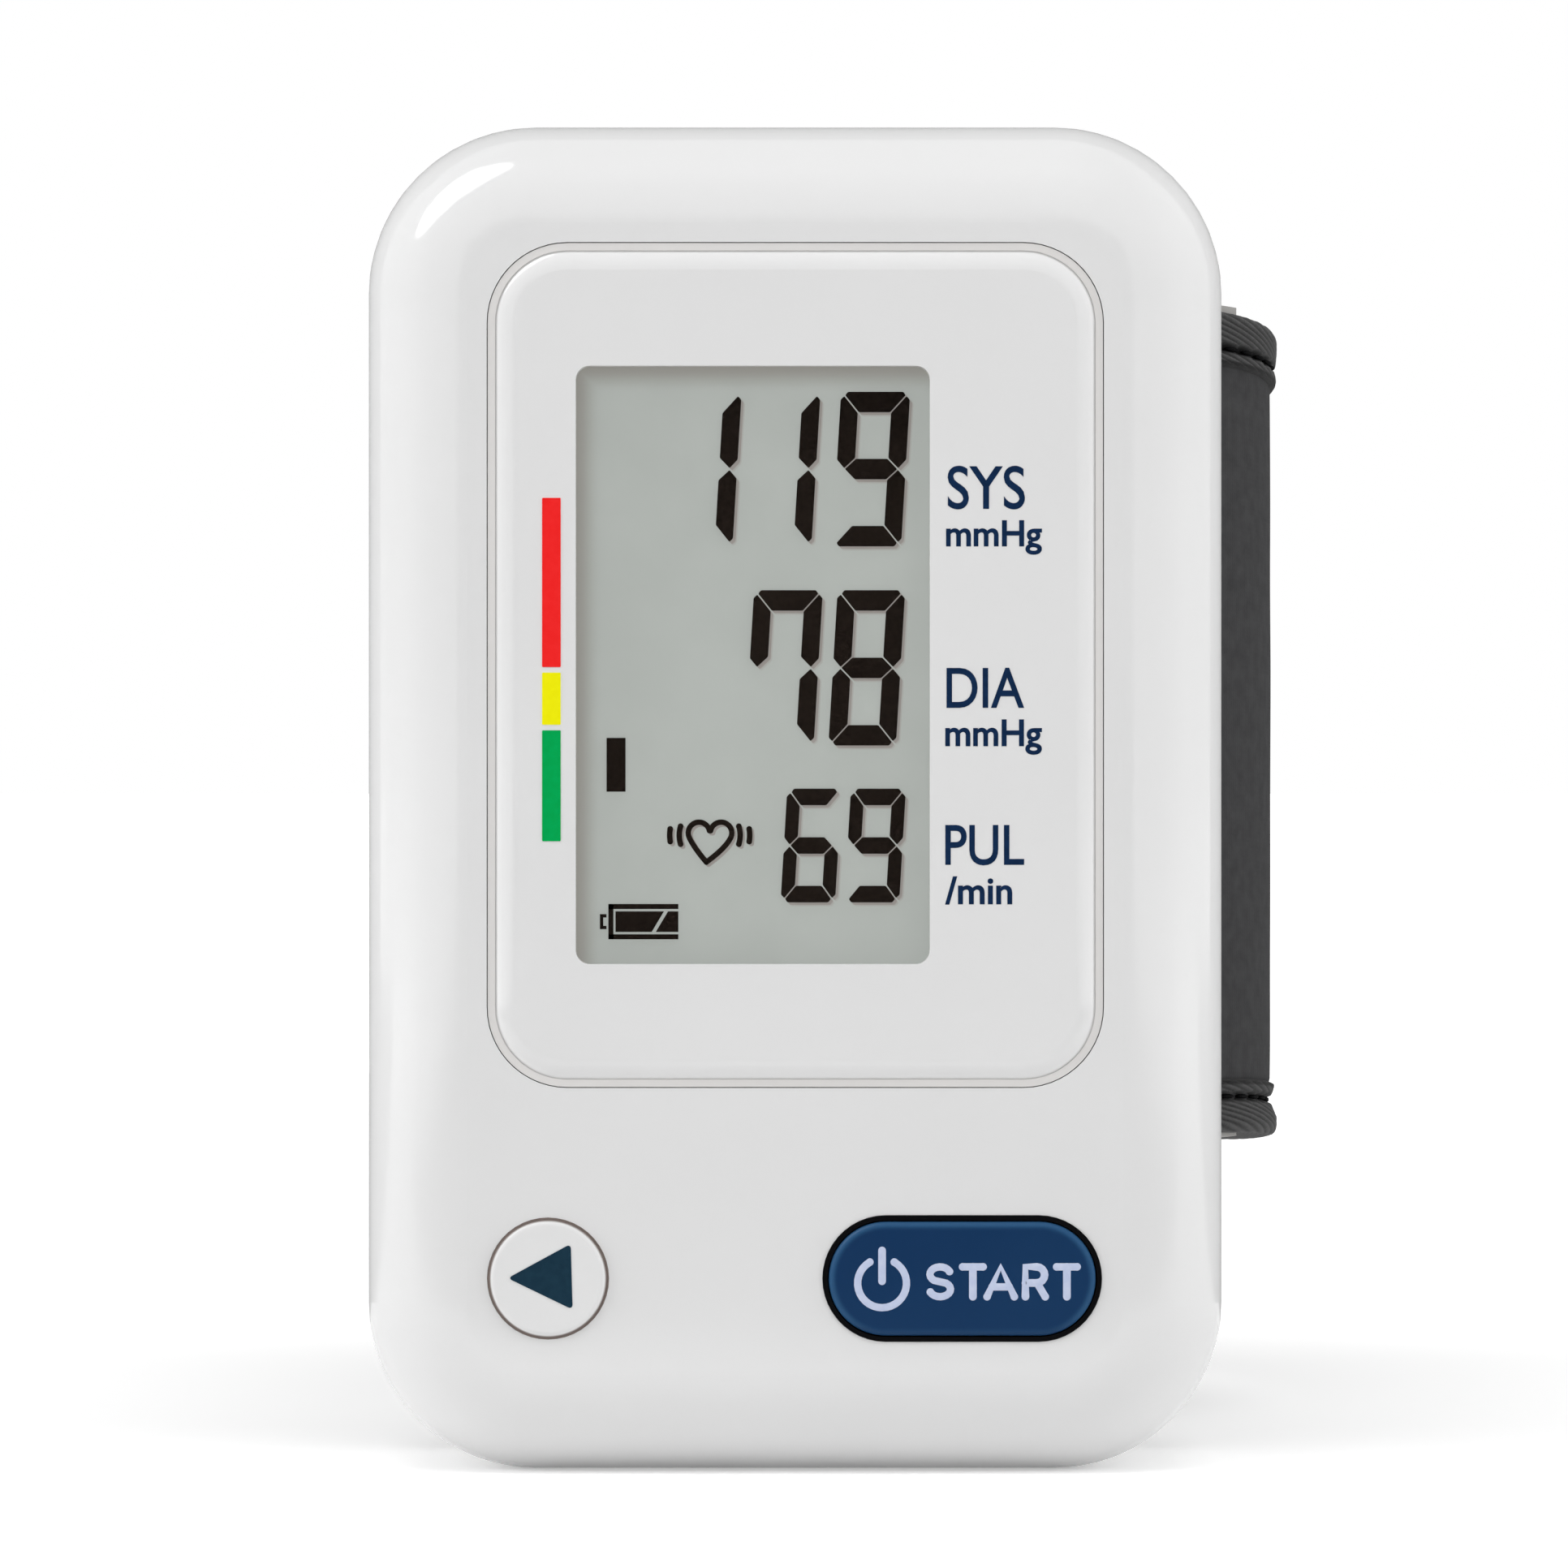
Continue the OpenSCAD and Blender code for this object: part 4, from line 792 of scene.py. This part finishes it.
outer_knit = knit("outer_knit", "3B3B3C", "444445", 0.35, 0.2, 0.0)
inner_knit = knit("inner_knit", "2C2C2D", "343435", 0.5, 0.7, 0.2)
loop_pile = knit("loop_pile", "1B1B1C", "242425", 0.9, 1.0, 0.3)
foam_pad = knit("foam_pad", "4A4A4A", "5A5A5A", 0.7, 0.6, 0.0)
hook_nylon = moulded("hook_nylon", "121213", "1A1A1C", 0.4)
thread = finish("thread", "0A0A0B", 0.7, Specular_IOR_Level=0.05)
thread_twist = add(thread, "TexWave", {"Vector": place(thread), "Scale": 3.0, "Distortion": 1.0},
                   bands_direction="DIAGONAL")
bump(thread, thread_twist.outputs["Fac"], 0.5, 0.05)

# %% [markdown]
# ## Covers and linings
# A cover is a grid, so that it can swell softly between its bound edges and carry a few slow folds. It
# is drawn in by the tape at its edges, and its corners are pulled inside the tape's rounded corners.


# %% Covers and linings
def from_bound_edge(x, z, low, high, end, corner):
    """Distance of a flat point from the nearest bound edge, round the end's corners too."""
    beside, above = abs(x - end), min(z - low, high - z)
    if beside < corner and above < corner:
        return corner - math.hypot(corner - beside, corner - above)
    return min(beside, above)


def swell(x, z, low, high, bulge, folds, seed):
    """How far a cloth stands out at a point between its bound edges."""
    share = (z - low) / (high - low)
    crown = 1 - (2 * share - 1) ** 6
    ripple = noise.noise(Vector((x / (13 * MM), z / (19 * MM), seed)))
    ripple += 0.4 * noise.noise(Vector((x / (5 * MM), z / (9 * MM), seed + 7)))
    return bulge * crown + folds * crown * ripple


def pull_corners(bm, end, low, high, corner):
    """Pulls a flat sheet's two corners at one end in to a round corner."""
    inward = 1 if end < sum(v.co.x for v in bm.verts) / len(bm.verts) else -1
    for v in bm.verts:
        centre_x = end + inward * corner
        centre_z = min(max(v.co.z, low + corner), high - corner)
        dx, dz = v.co.x - centre_x, v.co.z - centre_z
        far = math.hypot(dx, dz)
        if dx * inward < 0 and dz and far > corner:
            v.co.x, v.co.z = centre_x + dx * corner / far, centre_z + dz * corner / far


CORNER, FAR_OFF = 6.0 * MM, 1.0


def cloth(name, material, a0, a1, depth, thick, strap, bulge=0.0, folds=0.0, seed=1.0, margin=1.0,
          round_at=None, facing=-1, step=1.2, tuck=0.0):
    """A sheet of cloth between two angles, its outside at a depth, rolled round the cuff."""
    x0, x1 = along(a0), along(a1)
    low, high = cuff_low + margin * MM, cuff_high - margin * MM
    bm = bmesh.new()
    bmesh.ops.create_grid(bm, x_segments=round((x1 - x0) / (step * MM)),
                          y_segments=round((high - low) / (step * 0.6 * MM)), size=0.5)
    bmesh.ops.scale(bm, vec=(x1 - x0, high - low, 1), verts=bm.verts[:])
    bmesh.ops.rotate(bm, cent=(0, 0, 0), matrix=UPRIGHT, verts=bm.verts[:])
    bmesh.ops.translate(bm, vec=((x0 + x1) / 2, depth * MM, (low + high) / 2), verts=bm.verts[:])
    end = x0 - FAR_OFF
    if round_at is not None:
        end = along(round_at)
        pull_corners(bm, end, low, high, CORNER)
    thicken(bm, thick * MM)
    map_flat(bm, lambda v: (v.co.x / MM, (v.co.z + v.co.y) / MM))
    for v in bm.verts:
        inside = from_bound_edge(v.co.x, v.co.z, low, high, end, CORNER)
        sunk = tuck * MM * (1 - eased(inside, 1.6 * MM, 2.5 * MM))
        v.co.y += facing * (swell(v.co.x, v.co.z, low, high, bulge * MM, folds * MM, seed) - sunk)
    roll(bm, strap)
    return make_piece(bm, name, material)


def bend_at_hinge(piece):
    """Bakes a piece's place into its mesh; the piece rides on no body."""
    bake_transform(piece)


left_cover = cloth("cuff_cover_cloth", outer_knit, FIXED_END + 1, LEFT_STOP, 0.25, 0.6, False,
                   bulge=0.1, folds=0.1, seed=3.0, round_at=FIXED_END + 1, tuck=0.5)
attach(left_cover, "main")
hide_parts("cuff_cover_left")

strap_cover = cloth("strap_cover_cloth", outer_knit, RIGHT_STOP, STRAP_END - 1, 0.25, 0.6, True,
                    bulge=0.1, folds=0.1, seed=5.0, round_at=STRAP_END - 1, tuck=0.5)
bend_at_hinge(strap_cover)
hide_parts("strap_cover", "cuff_cover_right")

fixed_lining = cloth("cuff_lining_cloth", inner_knit, FIXED_END + 1, 360 + RIGHT_STOP, 3.35, 0.6, False,
                     bulge=0.12, folds=0.15, seed=8.0, round_at=FIXED_END + 1, facing=1,
                     tuck=0.5)
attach(fixed_lining, "main")
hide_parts("cuff_lining")

strap_lining = cloth("strap_lining_cloth", inner_knit, RIGHT_STOP, STRAP_END - 1, 3.35, 0.6, True,
                     bulge=0.12, folds=0.15, seed=9.0, round_at=STRAP_END - 1, facing=1,
                     tuck=0.5)
bend_at_hinge(strap_lining)
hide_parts("strap_lining")

# %% [markdown]
# ## Binding tape
# The tape is folded over the edge and held by one row of stitches. Its section is drawn once, from the
# lip on the outside round the edge to the lip on the inside, with the groove that the stitches pull.
# The section is swept along the lower edge, round the end and back along the upper edge. Each point is
# also moved along its normal by the diagonal ribs of the twill, and the groove is deeper and wider where
# a stitch goes through. The tape's map runs along it and across it, so its colour can follow the ribs.
# The colour carries painted shade: darker in the ribs' valleys, and almost black in the stitch groove and
# along the lip's cut edge.

# %% The way along the edge
def edge_way(a_start, a_end):
    """A function from a distance along the bound edge to a flat place, and the whole way's length.

    The way runs along the lower edge, round the end and back along the upper edge."""
    x0, x1 = along(a_start), along(a_end)
    way = 1 if x1 > x0 else -1
    run, quarter = abs(x1 - x0) - CORNER, CORNER * math.pi / 2
    total = 2 * (run + quarter) + cuff_high - cuff_low - 2 * CORNER

    def spot(s, inset):
        """x, z and heading at an inset from the edge."""
        back = min(s, total - s)
        turn = min(max(back - run, 0), quarter) / CORNER
        x = x0 + way * (min(back, run) + (CORNER - inset) * math.sin(turn))
        z = cuff_low + CORNER - (CORNER - inset) * math.cos(turn) + max(back - run - quarter, 0)
        if s > total / 2:
            return x, cuff_low + cuff_high - z, -way * turn
        return x, z, way * turn

    return spot, total


# %% The tape's section
LEG, FOLD_R, HALF_EDGE = 3.1, 0.5, 1.5
HALF_WAY = LEG + FOLD_R * math.pi / 2 + HALF_EDGE
PROUD = ((0.0, -0.3), (0.16, 0.14), (0.5, 0.22), (3.3, 0.24), (HALF_WAY, 0.0))
SEAM, STITCH_PITCH = 1.25, 2.7
VALLEY_WIDTH, VALLEY_DEPTH, UPPER_SHARE = 1.25, 0.5, 0.2
RIB_PITCH, RIB_SLANT, RIB_HEIGHT = 0.39, 0.16, 0.07


def proud(s, pull, share):
    """How far the tape stands out at a distance from its lip, with a groove that deepens with the pull.

    The share is how much of the wide valley beside the groove this edge has."""
    out = PROUD[-1][1]
    for (s0, p0), (s1, p1) in zip(PROUD, PROUD[1:]):
        if s <= s1:
            out = p0 + (p1 - p0) * eased(s, s0, s1)
            break
    near = min(1.0, abs(s - SEAM) / (0.38 + 0.2 * pull))
    wide = max(0.0, 1 - abs(s - SEAM) / VALLEY_WIDTH)
    return out - (0.45 + 0.25 * pull) * (1 - near * near) ** 2 - share * VALLEY_DEPTH * wide


def fold(s, extra, pull, share):
    """Depth and rise of the folded tape at a distance from its outer lip, raised by an extra height."""
    inner = s > HALF_WAY
    s = min(s, 2 * HALF_WAY - s)
    turn = min(max(s - LEG, 0) / FOLD_R, math.pi / 2)
    beyond = max(s - LEG - FOLD_R * math.pi / 2, 0)
    out = proud(s, pull, share) + extra
    depth = FOLD_R - (FOLD_R + out) * math.cos(turn) + beyond
    rise = FOLD_R - (FOLD_R + out) * math.sin(turn) + LEG - min(s, LEG)
    return (2 * (FOLD_R + HALF_EDGE) - depth if inner else depth), rise


def section_stops():
    """Distances from the lip, closer where the ribs show; the last one closes the section."""
    fine, coarse = 60, 24
    shown = LEG + FOLD_R * math.pi / 2
    return [shown * i / fine for i in range(fine)] + [
        shown + (2 * HALF_WAY - shown) * i / coarse for i in range(coarse + 1)] + [0]


def stitch_step(total):
    """Length of one stitch with its gap, so that a whole number fits the way."""
    return total / int(total / (STITCH_PITCH * MM))


tape_cloth = finish("tape_cloth", "3F3F3F", 0.8, Sheen_Weight=0.1, Specular_IOR_Level=0.2)
tape_place = flat_place(tape_cloth)
cut_way = add(tape_cloth, "SeparateXYZ", {"Vector": tape_place}).outputs
slid = calc(tape_cloth, "MULTIPLY_ADD", cut_way["X"], -RIB_SLANT, cut_way["Y"])
ribs = calc(tape_cloth, "SINE", calc(tape_cloth, "MULTIPLY", slid, 2 * math.pi / RIB_PITCH))
yarn = cloud(tape_cloth, tape_place, 5.0)
uneven = calc(tape_cloth, "MULTIPLY_ADD", yarn, 2.2, ribs)
rib_share = add(tape_cloth, "MapRange", {"Value": uneven, "From Min": 0.0, "From Max": 2.2})
# Painted shade: the ribs' valleys are darker than their ridges; the yarn noise adds the cloth's own uneven
# tone.
tone = between(tape_cloth, rib_share.outputs[0], "242424", "4B4B4B")
# Painted shade: the colour falls almost to black in the stitch groove and along the lip's cut edge.
beside = calc(tape_cloth, "ABSOLUTE", calc(tape_cloth, "SUBTRACT", cut_way["Y"], SEAM))
painted_shade_factor = calc(tape_cloth, "MULTIPLY", ramp(tape_cloth, beside, 0.2, 0.5, 0.04, 1.0),
                  ramp(tape_cloth, cut_way["Y"], 0.3, 0.5, 0.04, 1.0))
shaded = add(tape_cloth, "VectorMath", {0: tone, "Scale": painted_shade_factor}, operation="SCALE")
plug(tape_cloth, "Base Color", shaded.outputs[0])
bump(tape_cloth, yarn, 0.4, 0.05)


def tape(name, a_start, a_end, strap, step=0.3):
    """The folded tape with its ribs, along an edge's whole way."""
    spot, total = edge_way(a_start, a_end)
    stops = section_stops()
    bm = bmesh.new()
    bmesh.ops.create_grid(bm, x_segments=round(total / (step * MM)), y_segments=len(stops) - 1, size=0.5)
    along_it, across_it = bm.verts.layers.float.new("along"), bm.verts.layers.float.new("across")
    for v in bm.verts:
        s = (v.co.x + 0.5) * total
        far = stops[round((v.co.y + 0.5) * (len(stops) - 1))]
        rib = math.sin(2 * math.pi * (far - RIB_SLANT * s / MM) / RIB_PITCH)
        pull = (0.5 + 0.5 * math.cos(2 * math.pi * s / stitch_step(total))) ** 2
        shown = 1 if far < LEG + FOLD_R else 0.3
        share = 1.0 if s < total / 2 else UPPER_SHARE
        depth, rise = fold(far, RIB_HEIGHT * shown * rib * eased(far, 0, 0.3), pull, share)
        x, z, heading = spot(s, rise * MM)
        v[along_it], v[across_it] = s / MM, far
        v.co = (x, depth * MM, z)
    bmesh.ops.remove_doubles(bm, verts=bm.verts[:], dist=0.001 * MM)
    bmesh.ops.holes_fill(bm, edges=[e for e in bm.edges if e.is_boundary], sides=0)
    bmesh.ops.recalc_face_normals(bm, faces=bm.faces[:])
    map_flat(bm, lambda v: (v[along_it], v[across_it]))
    roll(bm, strap)
    return make_piece(bm, name, tape_cloth)


# %% Stitches
GROOVE, STITCH_LENGTH = LEG + FOLD_R - SEAM, 2.1


def stitches(name, a_start, a_end, strap):
    """Rows of stitches that lie in the tape's grooves, outside and inside."""
    spot, total = edge_way(a_start, a_end)
    step = stitch_step(total)
    bm = bmesh.new()
    for i in range(round(total / step)):
        x, z, heading = spot((i + 0.5) * step, GROOVE * MM)
        deep = -proud(SEAM, 0.0, 1.0 if (i + 0.5) * step < total / 2 else UPPER_SHARE) - 0.2
        for depth in (deep, 2 * (FOLD_R + HALF_EDGE) - deep):
            turn = Matrix.Translation((x, depth * MM, z)) @ Matrix.Rotation(-heading, 4, "Y")
            size = Matrix.Diagonal((STITCH_LENGTH / 2 * MM, 0.3 * MM, 0.17 * MM, 1))
            bmesh.ops.create_icosphere(bm, subdivisions=2, radius=1.0, matrix=turn @ size)
    roll(bm, strap)
    return make_piece(bm, name, thread, smooth_below=80)


left_tape = tape("cuff_tape_cloth", LEFT_STOP, FIXED_END, False)
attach(left_tape, "main")
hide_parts("cuff_tape_left")
left_thread = stitches("cuff_stitches", LEFT_STOP, FIXED_END, False)
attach(left_thread, "main")

strap_tape = tape("strap_tape_cloth", RIGHT_STOP, STRAP_END, True)
bend_at_hinge(strap_tape)
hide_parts("strap_tape", "cuff_tape_right")
strap_thread = stitches("strap_stitches", RIGHT_STOP, STRAP_END, True)
bend_at_hinge(strap_thread)

# %% [markdown]
# ## What lies between the layers
# The curled sheets, the padding and the bladder are plain flat pieces that roll with the rest, so they
# droop with the cloth and never poke through it.

# %% Inner layers and patches
for name, node_name, material, a0, a1, depth, thick, strap, margin in (
        ("cuff_curl_sheet", "cuff_curler", curl_sheet, 83, 213, 1.05, 0.5, False, 3.0),
        ("cuff_bladder", "air_bladder", bladder_skin, 102, 331, 1.75, 1.4, False, 4.5),
        ("strap_curl_sheet", "strap_curler", curl_sheet, -20.5, 62, 0.8, 0.9, True, 3.0),
        ("strap_foam", "strap_padding", foam_pad, -20.5, 62, 1.8, 1.4, True, 3.0)):
    layer = cloth(name, material, a0, a1, depth, thick, strap, margin=margin, step=4.0)
    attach(layer, "strap" if strap else "main")
    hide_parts(node_name)

# %% [markdown]
# ## Hook and loop
# The loop side is a pile of tangled threads: a fine grid pushed up and down by noise. The hook side is
# rows of tiny stems, each a cone with its tip bent over, on a thin backing.


# %% Hook and loop
loops = cloth("loop_pile_patch", loop_pile, 82.5, 190, -0.02, 0.3, False, margin=4.2, step=0.55)
for v in loops.data.vertices:
    out = Vector((v.co.x - axis_x, v.co.y - axis_y, 0))
    if out.length > cuff_r - 0.05 * MM:
        v.co += out.normalized() * 0.16 * MM * (0.7 + noise.noise(v.co * 2100))
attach(loops, "main")
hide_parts("loop_patch")

hooks = cloth("hook_backing", hook_nylon, 95, 141.5, 4.02, 0.16, True, margin=4.2, step=2.0)
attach(hooks, "strap")
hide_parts("hook_patch")

HOOK_PITCH, HOOK_START, HOOK_END, HOOK_MARGIN = 1.3 * MM, 95.5, 141, 4.7 * MM
STEM, TIP = (0.14, 0.07, 0.24, 0, 0), (0.12, 0.05, 0.1, 0.08, 0.12)
bm = bmesh.new()
across = int((along(HOOK_END) - along(HOOK_START)) / HOOK_PITCH)
upward = int((cuff_high - cuff_low - 2 * HOOK_MARGIN) / HOOK_PITCH)
for i in range(across):
    for j in range(upward):
        x = along(HOOK_START) + (i + 0.5 * (j % 2)) * HOOK_PITCH
        z = cuff_low + HOOK_MARGIN + (j + 0.5) * HOOK_PITCH
        stand = Matrix.Translation((x, 4.25 * MM, z)) @ Matrix.Rotation(math.radians(-90), 4, "X")
        for foot, top, tall, aside, inward in (STEM, TIP):
            moved = Matrix.Translation((aside * MM, inward * MM, 0)) @ stand
            bmesh.ops.create_cone(bm, cap_ends=True, segments=5, radius1=foot * MM, radius2=top * MM,
                                  depth=tall * MM, matrix=moved)
roll(bm, True)
make_piece(bm, "hook_stems", hook_nylon, "strap", smooth_below=60)

# %% [markdown]
# ## Floor, light and camera
# A studio shot of a white object on white. The floor and the background are white to the camera and in
# reflections, and give plain light otherwise. Soft lamps at the sides and above make the rounded edges
# brighter than the flat face. A long one high on the left is seen in reflections only, and makes the
# sharp glint on the corner. Black cards, also seen in reflections only, stand behind the camera and on
# the table, so that the flat faces don't mirror white and the inks and the dark key stay deep. Two grey
# ones behind the object draw the thin grey line round a white object's edge.

# %% Floor and backdrop
NEAR_GLOW, FAR_GLOW = 0.38, 1.1


def seen_white(paint):
    """Whether a ray comes from the camera, off a gloss or through glass."""
    rays = add(paint, "LightPath").outputs
    sharp = calc(paint, "MAXIMUM", rays["Is Camera Ray"], rays["Is Glossy Ray"])
    return calc(paint, "MAXIMUM", sharp, rays["Is Transmission Ray"])


floor_paint = finish("floor_paint", "F2F2F2", 0.9, Specular_IOR_Level=0.0)
from_middle = add(floor_paint, "VectorMath", {0: place(floor_paint)}, operation="LENGTH").outputs["Value"]
far_glow = ramp(floor_paint, from_middle, 120.0, 900.0, NEAR_GLOW, FAR_GLOW)
glow = calc(floor_paint, "MULTIPLY", seen_white(floor_paint), far_glow)
floor_paint.node_tree.nodes["Principled BSDF"].inputs["Emission Color"].default_value = (1, 1, 1, 1)
plug(floor_paint, "Emission Strength", glow)

bm = bmesh.new()
bmesh.ops.create_grid(bm, x_segments=1, y_segments=1, size=30.0)
floor = make_piece(bm, "floor", floor_paint)

card_black = finish("card_black", "000000", 1.0, Specular_IOR_Level=0.0)
card_grey = finish("card_grey", "A8A8A8", 1.0, Specular_IOR_Level=0.0)
CARDS = (("card_front", card_black, 360, (-1300, 0), (-1300, 400)),
         ("card_table", card_black, 360, (-1300, 0.5), (-120, 0.5)),
         ("card_back", card_grey, 1000, (600, 1), (600, 1200)),
         ("card_rear", card_grey, 1000, (90, 0.5), (600, 0.5)))
for name, paint, half, one_side, other_side in CARDS:
    bm = bmesh.new()
    bm.faces.new([bm.verts.new((x * MM, y * MM, z * MM)) for x, (y, z) in (
        (-half, one_side), (half, one_side), (half, other_side), (-half, other_side))])
    card = make_piece(bm, name, paint)
    for kind in ("camera", "diffuse", "transmission", "shadow"):
        setattr(card, "visible_" + kind, False)

WORLD_LIGHT = 0.43
world = bpy.data.worlds.new("studio")
bpy.context.scene.world = world
world.use_nodes = True
background = world.node_tree.nodes["Background"]
background.inputs["Color"].default_value = (1, 1, 1, 1)
level = add(world, "MapRange", {"Value": seen_white(world), "To Min": WORLD_LIGHT, "To Max": 1.0})
world.node_tree.links.new(level.outputs[0], background.inputs["Strength"])


# %% Lamps
def lamp(name, spot, size, power, tilt=0.0, glossy=True, shape="RECTANGLE"):
    """Soft lamp turned to the object's middle; sizes and places in metres."""
    data = bpy.data.lights.new(name, "AREA")
    data.shape = shape
    data.size, data.size_y = size
    data.energy = power
    light = bpy.data.objects.new(name, data)
    light.location = spot
    light.rotation_mode = "QUATERNION"
    facing = (Vector((0, 0, 0.045)) - Vector(spot)).to_track_quat("-Z", "Y")
    light.rotation_quaternion = facing @ Matrix.Rotation(math.radians(tilt), 3, "Z").to_quaternion()
    light.visible_glossy = glossy
    bpy.context.scene.collection.objects.link(light)
    return light


glint = lamp("glint", (-0.72, -0.277, 1.01), (1.12, 0.54), 8.5, tilt=70.9, shape="ELLIPSE")
glint.visible_diffuse = False
lamp("side_left", (-1.1, -0.295, 0.205), (0.5, 0.9), 6.7, glossy=False)
lamp("side_right", (1.1, -0.295, 0.205), (0.5, 0.9), 5.3, glossy=False)
lamp("top", (0, -0.431, 1.111), (0.9, 0.5), 4.5, glossy=False)

# %% Camera
EYE_DISTANCE, EYE_HEIGHT, EYE_SIDE = 0.45, 0.0449, -0.00073
PHOTO_WIDTH, PIXEL, SENSOR = 1932, 0.0538 * MM, 36.0
camera_data = bpy.data.cameras.new("camera")
camera_data.sensor_width = SENSOR
camera_data.lens = SENSOR * EYE_DISTANCE / (PHOTO_WIDTH * PIXEL)
camera_data.clip_start, camera_data.clip_end = 0.01, 100.0
camera = bpy.data.objects.new("camera", camera_data)
camera.location = (EYE_SIDE, -EYE_DISTANCE, EYE_HEIGHT)
camera.rotation_euler = (math.radians(90), 0, 0)
bpy.context.scene.collection.objects.link(camera)
bpy.context.scene.camera = camera
bpy.context.scene.view_settings.view_transform = "Standard"
